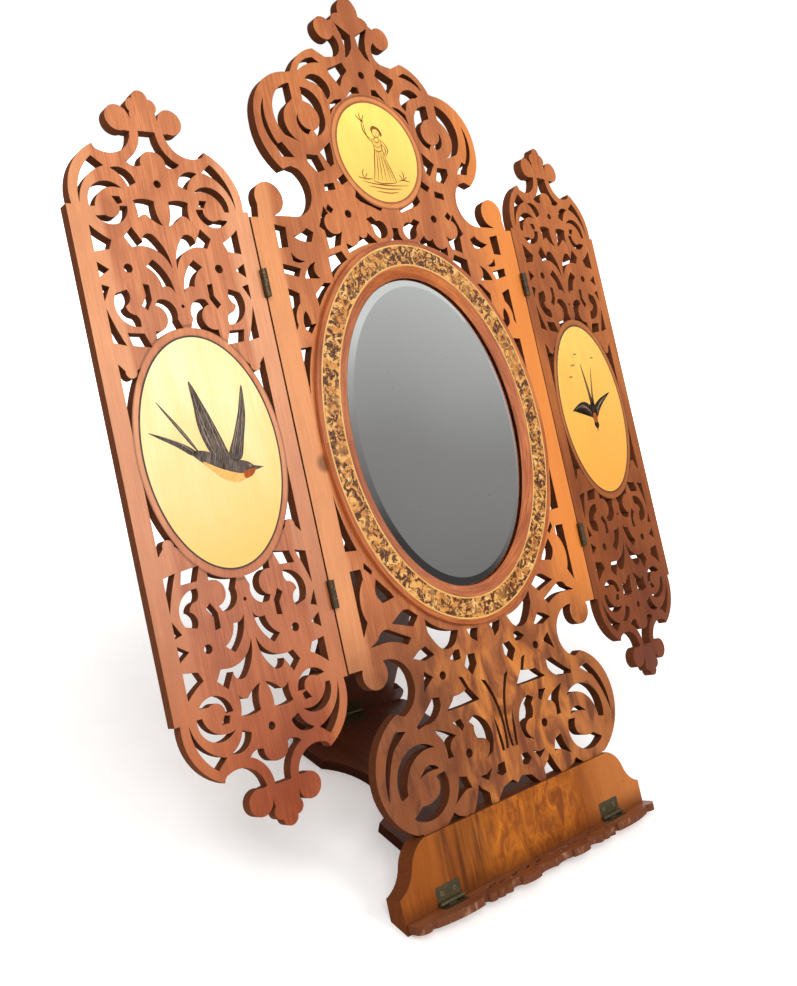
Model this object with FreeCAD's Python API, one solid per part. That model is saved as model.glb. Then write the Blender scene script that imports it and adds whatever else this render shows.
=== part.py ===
import FreeCAD, Part
import math
import os

os.makedirs("parts", exist_ok=True)
Vec = FreeCAD.Vector

# Sizes in millimetres, angles in degrees.
# On a panel u runs across, v runs up and n comes out of the front face.
centre_width = 234.8
stile_length = 280.0
meeting_gap = 3.2
board = 7.0
lean = 30.0
plinth_height = 48.0

# Sizes the fretwork is drawn at; the drawing is stretched to the sizes above.
drawn_half_width = 117.4
drawn_length = 280.0
drawn_wing_half = 57.9
drawn_joint = -278.0
wing_width = (centre_width - meeting_gap) / 2
wide = centre_width / 2 / drawn_half_width
tall = stile_length / drawn_length
wing_wide = wing_width / 2 / drawn_wing_half

# Oval mirror and its moulding: half width and half height of each ellipse.
oval_v = -34.5 * tall
frame_a = 101.0 * wide
frame_b = 130.5 * tall
frame_rise = 3.2
line_width = 1.1
band_inset = 3.2
band_width = 12.4
inlay_depth = 1.2
sight_inset = 25.6
lip = 4.0
glass_thick = 3.6
bevel_width = 9.5
bevel_drop = 2.0
back_thick = 4.0
fit_gap = 0.2

# Inlaid panels of the crest and the wings.
roundel_drawn_v = 158.5
roundel_v = roundel_drawn_v * tall
roundel_r = 34.8 * min(wide, tall)
roundel_rim = 5.0
wing_oval_a = 43.2 * wing_wide
wing_oval_b = 66.0 * tall

# Plinth, ledge and folding stand.
plinth_top = drawn_joint * tall
foot_drop = plinth_height - plinth_top
plinth_front = 2.0
plinth_thick = 13.0
plinth_end = 20.0
tongue_depth = 8.0
tongue_half = 88.0
ledge_thick = 5.0
ledge_drop = 5.2
ledge_depth = 18.0
stand_thick = 7.0
foot_gap = 1.2
foot_rear = 195.0
foot_rear_half = 57.0
foot_front_half = 69.0
foot_waist_half = 39.0
prop_lean = 7.6
prop_half = 45.0
prop_head_half = 34.0
prop_foot_half = 58.0
prop_foot_high = 15.0
prop_gap = 0.4
cleat_deep = 6.0

# Wing hinges, let into the meeting edges, and surface hinges of ledge and stand.
edge_gap = 1.2
knuckle_r = 2.0
knuckle_clear = 0.2
knuckle_rise = knuckle_r + knuckle_clear
wing_pin_r = 0.9
small_knuckle_r = 1.4
small_clear = 0.3
small_rise = small_knuckle_r + small_clear
small_pin_r = 0.7
pin_play = 0.05
knuckle_play = 0.3
leaf_thick = 0.9
let_in = 0.1
wing_hinge_length = 17.0
wing_leaf_depth = 5.6
wing_hinge_heights = (66.0, -124.0)
small_hinge_length = 20.0
small_leaf_depth = 10.0
ledge_leaf_depth = 5.5
stand_hinge_length = 26.0
ledge_hinge_u = 80.0
foot_hinge_u = 42.0
screw_r = 1.6
screw_deep = 0.5
screw_spread = 5.5
screw_up = 5.6
left_wing_back = 0.9
right_wing_back = 6.5

axis_u = centre_width / 2 + edge_gap / 2
plinth_back = plinth_front - plinth_thick
cos_lean = math.cos(math.radians(lean))
sin_lean = math.sin(math.radians(lean))


def flat(edges):
    return Part.Face(Part.Wire(edges))


def disc(u, v, r):
    return flat([Part.makeCircle(r, Vec(u, v, 0))])


def on_arc(u, v, r, angle):
    a = math.radians(angle)
    return Vec(u + r * math.cos(a), v + r * math.sin(a), 0)


def bar(u0, v0, u1, v1, w):
    # A round-ended straight band.
    a = math.degrees(math.atan2(v1 - v0, u1 - u0))
    h = w / 2
    p0 = on_arc(u0, v0, h, a + 90)
    p1 = on_arc(u0, v0, h, a - 90)
    p2 = on_arc(u1, v1, h, a - 90)
    p3 = on_arc(u1, v1, h, a + 90)
    cap0 = Part.Arc(p0, on_arc(u0, v0, h, a + 180), p1)
    cap1 = Part.Arc(p2, on_arc(u1, v1, h, a), p3)
    return flat([cap0.toShape(), Part.makeLine(p1, p2), cap1.toShape(), Part.makeLine(p3, p0)])


def leaf(u0, v0, u1, v1, left, right):
    # A pointed leaf: two arcs between its tips, bulging left and right by the given amounts.
    p0 = Vec(u0, v0, 0)
    p1 = Vec(u1, v1, 0)
    mid = (p0 + p1) * 0.5
    side = Vec(v0 - v1, u1 - u0, 0)
    side.normalize()
    arc0 = Part.Arc(p0, mid + side * left, p1)
    arc1 = Part.Arc(p1, mid - side * right, p0)
    return flat([arc0.toShape(), arc1.toShape()])


def outline(points):
    return flat([Part.makePolygon([Vec(u, v, 0) for u, v in points] + [Vec(*points[0], 0)])])


def chain(*corners):
    # A closed outline; a corner with four numbers is joined to the next by an arc through the last two.
    edges = []
    for i, c in enumerate(corners):
        p = Vec(c[0], c[1], 0)
        d = corners[(i + 1) % len(corners)]
        q = Vec(d[0], d[1], 0)
        if len(c) == 4:
            edges.append(Part.Arc(p, Vec(c[2], c[3], 0), q).toShape())
        else:
            edges.append(Part.makeLine(p, q))
    return flat(edges)


def rect(u0, v0, u1, v1):
    return outline([(u0, v0), (u1, v0), (u1, v1), (u0, v1)])


def oval(v, a, b):
    major = max(a, b)
    minor = min(a, b)
    curve = Part.Ellipse(Vec(0, v, 0), major, minor)
    if b > a:
        curve = Part.Ellipse(Vec(0, v + major, 0), Vec(minor, v, 0), Vec(0, v, 0))
    return flat([curve.toShape()])


def across(face):
    return face.mirror(Vec(0, 0, 0), Vec(1, 0, 0))


def both(faces):
    return faces + [across(f) for f in faces]


def joined(faces):
    # Fuses overlapping flat shapes into one, all turned to face the same way.
    turned = [f if f.normalAt(0, 0).z > 0 else f.reversed() for f in faces]
    return turned[0].multiFuse(turned[1:]).removeSplitter()


def stretched(face, across_scale, up_scale):
    if abs(across_scale - 1) < 1e-9 and abs(up_scale - 1) < 1e-9:
        return face
    m = FreeCAD.Matrix()
    m.scale(across_scale, up_scale, 1)
    return face.transformGeometry(m)


def slab(face, n0, n1):
    s = face.extrude(Vec(0, 0, n1 - n0))
    s.translate(Vec(0, 0, n0))
    return s


def single(shape):
    return shape.Solids[0] if len(shape.Solids) == 1 else shape


def cut_all(shape, tools):
    return single(shape.cut(tools))


# Centre board: a blank of the outer outline, less its piercings.
# Only the right half is drawn; v is measured up from the middle of the hinged edges' height.
centre_bottom = -172.0
centre_top = drawn_length + centre_bottom
stile_in = 100.8
blanks = [
    rect(-3, -165, stile_in, 104),
    rect(stile_in - 1, centre_bottom, drawn_half_width, centre_top),
    disc(25.0, 242.6, 8.0),
    disc(100.5, 120.5, 10.5),
    bar(104, 118, 106, 104, 12),
    disc(98, -176.3, 9.8),
    chain((-3, 100), (110, 100), (110, 109.3), (86.6, 109.6, 66.0, 127.0), (73.0, 141.4), (78.4, 142.8),
          (84.8, 140.4, 95.6, 155.6), (98.0, 172.0, 89.6, 194.6), (65.0, 206.4), (61.8, 207.2, 52.6, 219.4),
          (38.8, 226.2), (29.4, 221.8), (22.4, 222.8, 14.8, 229.6), (16.0, 236.8), (19.8, 241.2),
          (19.8, 248.6), (16.6, 250.4, 14.6, 254.0), (10.6, 255.6), (8.8, 256.2, 7.4, 263.6), (0, 269.5),
          (-3, 260)),
    chain((-3, -277), (91, -277, 114.6, -240), (89, -203.6), (83, -206.4, 69.5, -188.5), (92, -170.4),
          (100, -168), (100, -120), (-3, -120)),
]
tongue = rect(-tongue_half, drawn_joint - tongue_depth, tongue_half, drawn_joint + 2)

crest_holes = [
    chain((2.0, 241.0), (14.4, 248.4), (10.6, 240.0), (9.2, 231.4), (11.0, 223.6), (7.0, 226.6),
          (3.4, 232.0)),
    chain((15.6, 219.8), (29.4, 213.4), (28.6, 210.4), (21.4, 202.2), (17.6, 209.4), (12.4, 214.6)),
    chain((35.2, 216.8), (40.4, 219.8, 49.4, 216.4), (55.8, 208.2, 46.2, 214.4)),
    chain((50.6, 204.2, 41.0, 208.0), (31.4, 198.4, 32.6, 194.0), (35.4, 191.6), (37.6, 197.4, 41.6, 201.0),
          (47.4, 202.4)),
    chain((6.0, 203.6), (10.4, 203.6), (18.0, 195.0), (12.6, 198.4), (5.4, 199.4)),
    chain((22.4, 193.6), (28.6, 192.4), (34.0, 189.0), (35.4, 180.8, 30.4, 187.4), (23.8, 191.6)),
    chain((65.0, 199.2, 81.6, 184.0), (77.0, 163.4), (66.0, 159.8, 74.2, 168.6), (70.4, 184.0),
          (65.0, 188.6)),
    chain((56.4, 197.6, 44.6, 192.4), (41.4, 182.0, 42.6, 171.6), (50.6, 165.0), (53.0, 168.8, 46.8, 173.4),
          (46.8, 182.0), (51.0, 186.6), (56.4, 188.2)),
    chain((63.0, 178.9, 64.6, 171.4), (57.6, 165.4), (54.8, 169.0, 60.4, 170.8)),
    chain((88.2, 186.4, 92.6, 172.0), (86.6, 155.4), (84.2, 157.0, 89.4, 171.4)),
    chain((86.4, 156.0), (80.8, 158.4), (73.2, 148.8), (83.2, 148.6)),
    chain((41.2, 162.0), (51.4, 154.2), (44.8, 144.8), (41.6, 147.4, 41.0, 154.4)),
    chain((54.0, 152.0), (63.4, 151.8), (63.4, 147.0), (57.0, 140.2), (50.4, 142.4)),
    chain((35.2, 141.0), (42.0, 136.6), (38.6, 133.0), (32.8, 136.4)),
    chain((45.6, 134.2), (54.0, 132.6), (54.0, 128.2), (45.0, 129.6)),
    chain((27.8, 130.4, 19.8, 123.4), (7.4, 119.0), (9.6, 116.8), (17.0, 119.6), (25.6, 122.4),
          (29.4, 125.4)),
]
upper_holes = [
    chain((92.5, 102.4), (stile_in, 104.0), (stile_in, 89.0), (93.4, 89.6)),
    chain((88.2, 96.8, 81.5, 98.8), (76.4, 102.6), (71.4, 99.8), (74.4, 93.6, 81.5, 93.8)),
    chain((92.6, 86.6), (92.2, 80.8, 87.0, 79.8), (82.6, 81.0, 88.8, 82.6)),
    chain((stile_in, 78.8), (stile_in, 73.0), (90.4, 70.6), (87.4, 76.0, 94.0, 77.6)),
    chain((74.6, 80.8, 81.8, 76.4), (85.6, 69.8), (73.4, 69.8, 77.0, 74.6)),
    chain((66.0, 66.8), (71.6, 67.0), (80.0, 59.6), (79.2, 51.6, 72.6, 60.4)),
    chain((stile_in, 63.4), (stile_in, 36.5), (98.8, 40.0, 98.0, 48.0), (93.6, 54.0), (92.8, 60.2)),
    chain((91.0, 49.0, 94.0, 43.5), (93.6, 37.4), (90.0, 34.4), (84.8, 40.8), (88.6, 40.2, 89.0, 45.0)),
    chain((stile_in, 25.6), (92.0, 26.4, 97.4, 12.0), (stile_in, -4.0)),
    chain((58.6, 117.8), (65.4, 103.8), (61.6, 101.2), (60.8, 89.4, 56.0, 91.0), (51.0, 92.2),
          (47.4, 101.8, 53.5, 99.4), (59.0, 102.2, 60.4, 107.6), (55.8, 113.0)),
    chain((54.4, 119.4), (56.8, 115.8), (53.4, 113.0), (50.6, 116.0)),
    chain((51.6, 88.2), (63.4, 84.4), (63.4, 70.0, 56.4, 77.4), (48.2, 82.6)),
    chain((18.6, 94.8), (26.0, 101.4, 29.0, 97.6), (33.6, 99.6, 36.0, 93.8), (42.0, 91.8),
          (46.2, 93.6), (45.2, 86.8, 32.0, 92.4)),
    disc(13.5, 104, 6.1),
    chain((14.6, 108.6), (19.4, 112.8), (24.4, 110.8), (21.0, 107.6), (18.6, 103.0)),
    chain((0, 105.6), (2.8, 105.4, 3.2, 99.6), (6.2, 96.6), (0, 96.6)),
    disc(39, 113.5, 2.7),
]
corner_holes = [
    chain((stile_in, -66.0), (stile_in, -101.0), (91.6, -101.6, 97.4, -84.0)),
    chain((92.2, -113.2), (stile_in, -113.2), (stile_in, -154.0), (95.4, -145.6, 97.6, -131.0),
          (91.8, -119.4)),
    chain((88.6, -109.6), (89.6, -113.2), (84.8, -118.0), (83.4, -115.8)),
    chain((82.0, -120.9), (84.4, -127.2, 83.4, -132.6), (80.2, -136.4), (70.6, -134.6), (72.4, -131.4)),
    chain((54.6, -149.4), (61.0, -144.2, 65.0, -143.6), (68.6, -144.8), (77.0, -150.0), (60.4, -155.2)),
    chain((64.0, -161.4), (81.0, -152.8, 86.6, -153.4), (90.0, -157.0), (97.0, -160.6),
          (88.0, -160.2, 77.0, -161.4),
          (67.8, -165.4)),
    chain((23.4, -165.2, 38.0, -161.0), (50.0, -152.8), (49.6, -161.0, 46.6, -166.6),
          (42.4, -172.2, 33.5, -174.8),
          (26.8, -171.0)),
    chain((5.4, -167.4, 10.0, -166.8), (16.2, -166.4), (13.4, -172.6), (8.2, -176.0, 7.4, -171.0)),
]
lower_holes = [
    chain((13.6, -182.6), (20.6, -182.0), (24.6, -188.6), (19.4, -195.8), (13.6, -189.6)),
    chain((26.2, -177.2), (30.4, -177.0), (36.2, -181.4), (31.6, -183.6), (26.6, -183.4)),
    chain((48.0, -176.0), (54.2, -169.0), (60.4, -171.0), (66.0, -174.4), (57.0, -177.8)),
    chain((53.2, -189.0), (59.8, -184.0), (61.6, -190.6), (63.4, -197.0), (60.2, -193.8)),
    chain((51.8, -202.2), (57.4, -201.2, 65.6, -208.0), (75.2, -215.0), (74.2, -216.8),
          (68.0, -215.8, 57.0, -213.2), (52.0, -207.4)),
    chain((28.0, -203.0, 33.4, -204.6), (39.6, -204.8, 43.2, -208.6), (48.0, -212.2, 33.0, -212.6),
          (18.0, -212.0), (25.0, -203.0), (28.6, -195.0), (32.4, -193.8), (30.4, -197.6)),
    chain((13.2, -200.2), (9.2, -201.8, 3.8, -214.0), (1.6, -248.6), (3.8, -248.6, 5.6, -216.0)),
    chain((9.4, -224.6, 6.8, -234.0), (5.4, -249.0), (7.6, -249.0, 8.6, -236.0)),
    chain((26.4, -220.2, 14.2, -231.6), (16.2, -246.6), (24.4, -250.0, 20.4, -246.8),
          (17.8, -241.6, 20.6, -237.2),
          (26.2, -236.0, 28.6, -231.0), (28.0, -226.6), (31.6, -223.2)),
    chain((38.2, -219.4), (45.4, -220.4), (41.8, -223.4), (38.6, -227.2), (36.2, -224.6)),
    chain((44.6, -228.6, 51.0, -224.6), (62.4, -220.6), (57.0, -227.6, 55.4, -233.0), (55.4, -240.2),
          (50.6, -240.6), (51.6, -235.6, 50.0, -231.4)),
    chain((43.6, -255.0), (50.4, -253.2, 52.6, -260.8), (57.4, -268.6), (49.4, -264.2, 45.0, -262.6),
          (40.8, -263.0)),
    chain((8.2, -255.6), (14.4, -255.8), (17.4, -261.0), (12.6, -263.8), (8.4, -262.6)),
    chain((20.2, -256.2), (26.0, -258.8), (32.4, -258.4), (25.4, -263.0)),
    chain((0, drawn_joint), (20.6, drawn_joint), (14.0, -271.0, 8.6, -269.6), (4.4, -268.8), (0, -272.0)),
    chain((27.0, drawn_joint), (27.0, -270.4), (33.0, -265.8), (34.8, -262.6, 38.0, -269.4),
          (43.2, drawn_joint)),
    chain((60.0, -272.6), (67.0, drawn_joint), (51.4, drawn_joint), (57.0, -275.6)),
    chain((64.4, -230.4, 88.2, -227.6), (98.6, -253.6), (93.0, -252.2, 84.2, -234.4)),
    chain((64.6, -243.6, 69.4, -240.0), (75.0, -240.2), (81.8, -245.4, 72.4, -243.2)),
    chain((61.0, -246.4), (68.4, -247.2, 66.8, -254.8), (72.6, -260.4, 78.0, -261.8), (83.6, -261.4),
          (92.2, -266.6, 80.0, -271.4), (66.0, -267.2, 59.4, -256.6)),
    chain((84.6, -215.2), (92.6, -213.4, 104.4, -228.6), (108.0, -252.6, 102.8, -235.0), (96.4, -223.4)),
    disc(45, -190, 2.7),
    disc(37, -242, 2.9),
]
roundel_seat_drawn = disc(0, roundel_drawn_v, roundel_r + roundel_rim)
centre_blank = joined(both(blanks) + [tongue, roundel_seat_drawn])
centre_holes = both(crest_holes + upper_holes + corner_holes + lower_holes) + [disc(0, 213, 2.6)]
centre_face = centre_blank.cut(centre_holes)
centre_face = stretched(centre_face, wide, tall)

# Wing: a plain blank with a crest at each end, then its piercings.
# The upper right quarter is drawn about the middle of the oval and mirrored both ways.
wing_end = drawn_length / 2 + 1.5
crest_block = chain((0, wing_end - 1), (54.6, wing_end - 1), (54.6, wing_end, 49.2, 165.2),
                    (35.4, 177.0, 34.4, 174.6), (32.0, 173.2, 18.4, 174.2), (10.6, 187.5), (0, 187.5))
wing_tip = [
    crest_block,
    disc(0, 195, 8.6),
    disc(5.0, 201.6, 4.6),
    disc(0, 206, 5.0),
    disc(16.5, 193.4, 7.6),
    bar(0, 190, 12, 190, 8),
]
wing_holes = [
    chain((13.5, 155.5, 15.8, 160.8), (27.7, 163.3, 21.8, 158.8), (18.8, 153.0)),
    chain((31.1, 164.4), (37.6, 169.8, 46.0, 159.6), (49.6, 142.0, 43.6, 156.4)),
    chain((44.4, 140.8, 36.0, 155.0), (22.8, 151.6, 34.2, 150.8), (41.2, 140.8)),
    chain((30.2, 147.0), (25.4, 147.2), (24.2, 143.6), (27.4, 142.4)),
    chain((26.6, 141.6), (21.8, 141.6, 27.6, 132.2), (42.0, 135.4), (36.0, 136.0, 29.0, 136.0)),
    chain((47.0, 130.2), (47.0, 115.2), (38.0, 116.6), (35.6, 121.8, 42.2, 126.0)),
    chain((4.5, 145.2, 11.0, 146.4), (17.5, 145.2, 16.2, 140.0), (16.6, 134.0, 13.8, 136.8),
          (11.2, 137.2, 6.6, 133.2), (1.8, 130.8, 4.4, 138.0)),
    chain((1.6, 105.5, 3.8, 117.0), (9.8, 125.6, 14.6, 125.6), (16.9, 121.2), (21.9, 129.8),
          (27.7, 124.0), (24.0, 118.0, 11.4, 117.4)),
    chain((3.0, 90.8, 5.8, 102.5), (13.1, 111.2), (18.0, 107.0, 12.4, 101.6), (10.4, 95.2, 7.0, 95.6)),
    chain((17.2, 84.8), (15.4, 87.8, 6.6, 85.6), (5.0, 76.8), (2.6, 71.4, 12.0, 69.6),
          (20.4, 65.2), (20.2, 70.0, 11.2, 78.0)),
    chain((18.6, 96.5), (22.3, 97.2), (21.8, 90.0), (25.4, 84.8), (22.3, 82.0), (18.6, 88.0)),
    chain((32.8, 94.0), (39.7, 91.8, 40.6, 80.0), (28.5, 72.8, 28.2, 76.2), (30.0, 79.5, 33.6, 81.0),
          (35.4, 84.6, 31.8, 88.6)),
    chain((47.0, 109.5), (47.0, 100.8), (40.5, 105.2)),
    chain((47.0, 96.8), (47.0, 87.5), (42.6, 95.4)),
    chain((47.0, 83.5), (47.0, 64.4), (39.4, 62.6, 43.6, 72.8)),
    chain((27.4, 69.0), (37.6, 69.6), (35.6, 62.4), (24.2, 61.0)),
    chain((47.0, 52.8), (47.0, 12.5, 43.0, 31.5), (33.8, 50.4), (36.6, 48.4, 40.0, 44.4), (43.4, 48.6)),
    disc(29.0, 106.0, 2.6),
]
wing_mid_holes = [
    chain((-5.4, 186.6), (5.4, 186.6, 8.2, 176.0), (17.0, 168.2, 12.4, 165.4), (8.0, 166.2, 6.0, 172.4),
          (0, 174.6, -6.0, 172.4), (-8.0, 166.2, -12.4, 165.4), (-17.0, 168.2, -8.2, 176.0)),
    disc(0, 155.5, 2.3),
    disc(0, 84.0, 1.0),
]


def upended(face):
    return face.mirror(Vec(0, 0, 0), Vec(0, 1, 0))


def four_ways(faces):
    pair = both(faces)
    return pair + [upended(f) for f in pair]


wing_half = drawn_wing_half
wing_blank = joined(four_ways(wing_tip) + [rect(-wing_half, -wing_end, wing_half, wing_end)])
mid_holes = wing_mid_holes + [upended(f) for f in wing_mid_holes]
wing_face = wing_blank.cut(four_ways(wing_holes) + mid_holes)
wing_face = stretched(wing_face, wing_wide, tall)

# Poses: the panel leans back about the front edge of its foot, which is the origin.
panel_turn = FreeCAD.Rotation(Vec(1, 0, 0), 90 - lean)
panel_pose = FreeCAD.Placement(panel_turn.multVec(Vec(0, foot_drop, 0)), panel_turn)


def about(point, axis, angle):
    turn = FreeCAD.Rotation(axis, angle)
    return FreeCAD.Placement(point - turn.multVec(point), turn)


hinge_right = Vec(axis_u, 0, knuckle_rise)
hinge_left = Vec(-axis_u, 0, knuckle_rise)
wing_middle = axis_u + edge_gap / 2 + wing_width / 2
wing_mid_v = -31.0 * tall
right_shift = FreeCAD.Placement(Vec(wing_middle, wing_mid_v, 0), FreeCAD.Rotation())
left_shift = FreeCAD.Placement(Vec(-wing_middle, wing_mid_v, 0), FreeCAD.Rotation())
right_rest = panel_pose.multiply(about(hinge_right, Vec(0, 1, 0), right_wing_back))
left_rest = panel_pose.multiply(about(hinge_left, Vec(0, 1, 0), -left_wing_back))


def save(name, shape, pose=None):
    s = single(shape.copy())
    if pose is not None:
        s.Placement = pose.multiply(s.Placement)
    s.exportStep("parts/" + name + ".step")


def hinge_leaf(length, depth, rise, radius, pin, along, facing, outer, start):
    # One leaf about an axis on v: the plate runs along one way and faces the axis.
    low = -length / 2
    third = length / 3
    spans = [(low, low + third - knuckle_play / 2), (-low - third + knuckle_play / 2, -low)]
    if not outer:
        spans = [(low + third + knuckle_play / 2, -low - third - knuckle_play / 2)]
    corner = along * start - facing * (rise + leaf_thick)
    plate = slab_box(corner, along, depth - start, facing, leaf_thick, low, length)
    barrels = []
    for a, b in spans:
        barrels.append(Part.makeCylinder(radius, b - a, Vec(0, a, 0), Vec(0, 1, 0)))
        web = along * web_start(start) - facing * (rise + leaf_thick)
        reach = radius * 0.6 - web_start(start) if start < 0 else start + 0.2
        barrels.append(slab_box(web, along, reach, facing, rise + leaf_thick, a, b - a))
    body = plate.multiFuse(barrels).removeSplitter()
    bore = Part.makeCylinder(pin + pin_play, length + 2, Vec(0, low - 1, 0), Vec(0, 1, 0))
    return single(body.cut(bore)), plate


def web_start(start):
    return start if start < 0 else 0.0


def slab_box(corner, along, reach, facing, thick, low, length):
    c = corner + Vec(0, low, 0)
    p = [c, c + along * reach, c + along * reach + facing * thick, c + facing * thick]
    face = Part.Face(Part.makePolygon(p + [c]))
    return face.extrude(Vec(0, length, 0))


def pocket(plate, facing):
    # Room for a leaf in the wood: the plate grown by the let-in clearance, open at the face.
    tools = [plate]
    for step in (Vec(let_in, 0, 0), Vec(-let_in, 0, 0), Vec(0, let_in, 0), Vec(0, -let_in, 0),
                 Vec(0, 0, let_in), Vec(0, 0, -let_in)):
        moved = plate.copy()
        moved.translate(step)
        tools.append(moved)
    lifted = plate.copy()
    lifted.translate(facing * leaf_thick)
    tools.append(lifted)
    return tools


def at(shape, pose):
    s = shape.copy()
    s.Placement = pose.multiply(s.Placement)
    return s


right = Vec(1, 0, 0)
left = Vec(-1, 0, 0)
inward = Vec(0, 0, -1)
plate_start = math.sqrt(knuckle_r ** 2 - (edge_gap / 2) ** 2) + knuckle_play
wing_args = (wing_hinge_length, wing_leaf_depth + knuckle_rise, edge_gap / 2, knuckle_r, wing_pin_r)
fixed_r, plate_r = hinge_leaf(*wing_args, inward, right, True, plate_start)
moving_r, mplate_r = hinge_leaf(*wing_args, inward, left, False, plate_start)
fixed_l, plate_l = hinge_leaf(*wing_args, inward, left, True, plate_start)
moving_l, mplate_l = hinge_leaf(*wing_args, inward, right, False, plate_start)
wing_pin = Part.makeCylinder(wing_pin_r, wing_hinge_length, Vec(0, -wing_hinge_length / 2, 0), Vec(0, 1, 0))

centre_pockets = []
right_pockets = []
left_pockets = []
for tag, height in zip(("upper", "lower"), wing_hinge_heights):
    v = height * tall
    spot_r = FreeCAD.Placement(hinge_right + Vec(0, v, 0), FreeCAD.Rotation())
    spot_l = FreeCAD.Placement(hinge_left + Vec(0, v, 0), FreeCAD.Rotation())
    save("fixed_leaf_right_" + tag, at(fixed_r, spot_r), panel_pose)
    save("fixed_leaf_left_" + tag, at(fixed_l, spot_l), panel_pose)
    save("wing_leaf_right_" + tag, at(moving_r, spot_r), right_rest)
    save("wing_leaf_left_" + tag, at(moving_l, spot_l), left_rest)
    save("wing_pin_right_" + tag, at(wing_pin, spot_r), panel_pose)
    save("wing_pin_left_" + tag, at(wing_pin, spot_l), panel_pose)
    centre_pockets += [at(t, spot_r) for t in pocket(plate_r, right)]
    centre_pockets += [at(t, spot_l) for t in pocket(plate_l, left)]
    right_pockets += [at(t, spot_r) for t in pocket(mplate_r, left)]
    left_pockets += [at(t, spot_l) for t in pocket(mplate_l, right)]

# Centre board with its opening, the roundel pocket and the hinge pockets.
glass_a = frame_a - sight_inset + lip
glass_b = frame_b - sight_inset + lip
opening = slab(oval(oval_v, glass_a + fit_gap, glass_b + fit_gap), -board - 1, 1)
roundel_seat = slab(disc(0, roundel_v, roundel_r + line_width), -inlay_depth, 1)
centre_board = cut_all(slab(centre_face, -board, 0), [opening, roundel_seat] + centre_pockets)
save("centre_board", centre_board, panel_pose)
save("crest_roundel", slab(disc(0, roundel_v, roundel_r), -inlay_depth, 0), panel_pose)
crest_line = disc(0, roundel_v, roundel_r + line_width).cut(disc(0, roundel_v, roundel_r))
save("crest_line", slab(crest_line, -inlay_depth, 0), panel_pose)


def oval_inset(inset):
    return oval(oval_v, frame_a - inset, frame_b - inset)


def oval_ring(inset0, inset1, n0, n1):
    return slab(oval_inset(inset0).cut(oval_inset(inset1)), n0, n1)


# Oval moulding: a flat carrying two lines and a band, then a slope down to the glass.
band_out = band_inset + line_width
band_in = band_out + band_width
slope_top = band_in + line_width
sight_wire = oval(oval_v, frame_a - sight_inset, frame_b - sight_inset).OuterWire
slope_wire = oval_inset(slope_top + 0.8).OuterWire
slope_wire.translate(Vec(0, 0, frame_rise))
hollow = Part.makeLoft([sight_wire, slope_wire], True, True)
frame_solid = slab(oval_inset(0), 0, frame_rise)
groove = oval_ring(band_inset, slope_top, frame_rise - inlay_depth, frame_rise + 1)
save("mirror_frame", cut_all(frame_solid, [hollow, groove]), panel_pose)
inlay_base = frame_rise - inlay_depth
save("outer_line", oval_ring(band_inset, band_out, inlay_base, frame_rise), panel_pose)
save("mosaic_band", oval_ring(band_out, band_in, inlay_base, frame_rise), panel_pose)
save("inner_line", oval_ring(band_in, slope_top, inlay_base, frame_rise), panel_pose)

# Bevelled oval glass behind the moulding's lip, and the board that holds it in.
rim_wire = oval(oval_v, glass_a, glass_b).OuterWire
flat_wire = oval(oval_v, glass_a - bevel_width, glass_b - bevel_width).OuterWire
rim_wire.translate(Vec(0, 0, -fit_gap - bevel_drop))
flat_wire.translate(Vec(0, 0, -fit_gap))
glass_top = Part.makeLoft([rim_wire, flat_wire], True, True)
glass_low = slab(oval(oval_v, glass_a, glass_b), -fit_gap - glass_thick, -fit_gap - bevel_drop)
save("mirror_glass", glass_low.fuse(glass_top).removeSplitter(), panel_pose)
back_face = -board - back_thick
back_board = slab(oval_inset(2.0), back_face, -board)
pad = slab(oval(oval_v, glass_a - 1, glass_b - 1), -board, -fit_gap - glass_thick)
save("mirror_back", back_board.fuse(pad).removeSplitter(), panel_pose)

# Wings, each with an inlaid oval and the dark line round it.
wing_slab = slab(wing_face, -board, 0)
wing_seat = slab(oval(0, wing_oval_a + line_width, wing_oval_b + line_width), -inlay_depth, 1)
wing_plain = cut_all(wing_slab, [wing_seat])
oval_plate = slab(oval(0, wing_oval_a, wing_oval_b), -inlay_depth, 0)
oval_edge = oval(0, wing_oval_a + line_width, wing_oval_b + line_width).cut(oval(0, wing_oval_a, wing_oval_b))
oval_line = slab(oval_edge, -inlay_depth, 0)
for side, shift, rest, pockets in (("right", right_shift, right_rest, right_pockets),
                                   ("left", left_shift, left_rest, left_pockets)):
    save("wing_board_" + side, cut_all(at(wing_plain, shift), pockets), rest)
    save("wing_oval_" + side, at(oval_plate, shift), rest)
    save("wing_line_" + side, at(oval_line, shift), rest)

# Plinth: ogee shoulders, a groove for the board's tongue and a foot cut level with the floor.
half = centre_width / 2
end_v = -foot_drop + plinth_end
shoulder_u = half - 27.0
bend_u = half - 13.5
bend_v = (end_v + plinth_top) / 2
hollow_arc = Part.Arc(Vec(half, end_v, 0), Vec(half - 8.2, end_v + 5.0, 0), Vec(bend_u, bend_v, 0))
swell_arc = Part.Arc(Vec(bend_u, bend_v, 0), Vec(bend_u - 5.2, bend_v + 8.8, 0),
                     Vec(shoulder_u, plinth_top, 0))
low_v = -foot_drop - 2 * plinth_front
end_line = Part.makeLine(Vec(half, low_v, 0), Vec(half, end_v, 0))
right_edge = [end_line, hollow_arc.toShape(), swell_arc.toShape()]
left_edge = [e.mirror(Vec(0, 0, 0), Vec(1, 0, 0)) for e in right_edge]
top_edge = Part.makeLine(Vec(shoulder_u, plinth_top, 0), Vec(-shoulder_u, plinth_top, 0))
low_edge = Part.makeLine(Vec(-half, low_v, 0), Vec(half, low_v, 0))
plinth_face = Part.Face(Part.Wire(Part.__sortEdges__(right_edge + [top_edge] + left_edge + [low_edge])))
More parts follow.
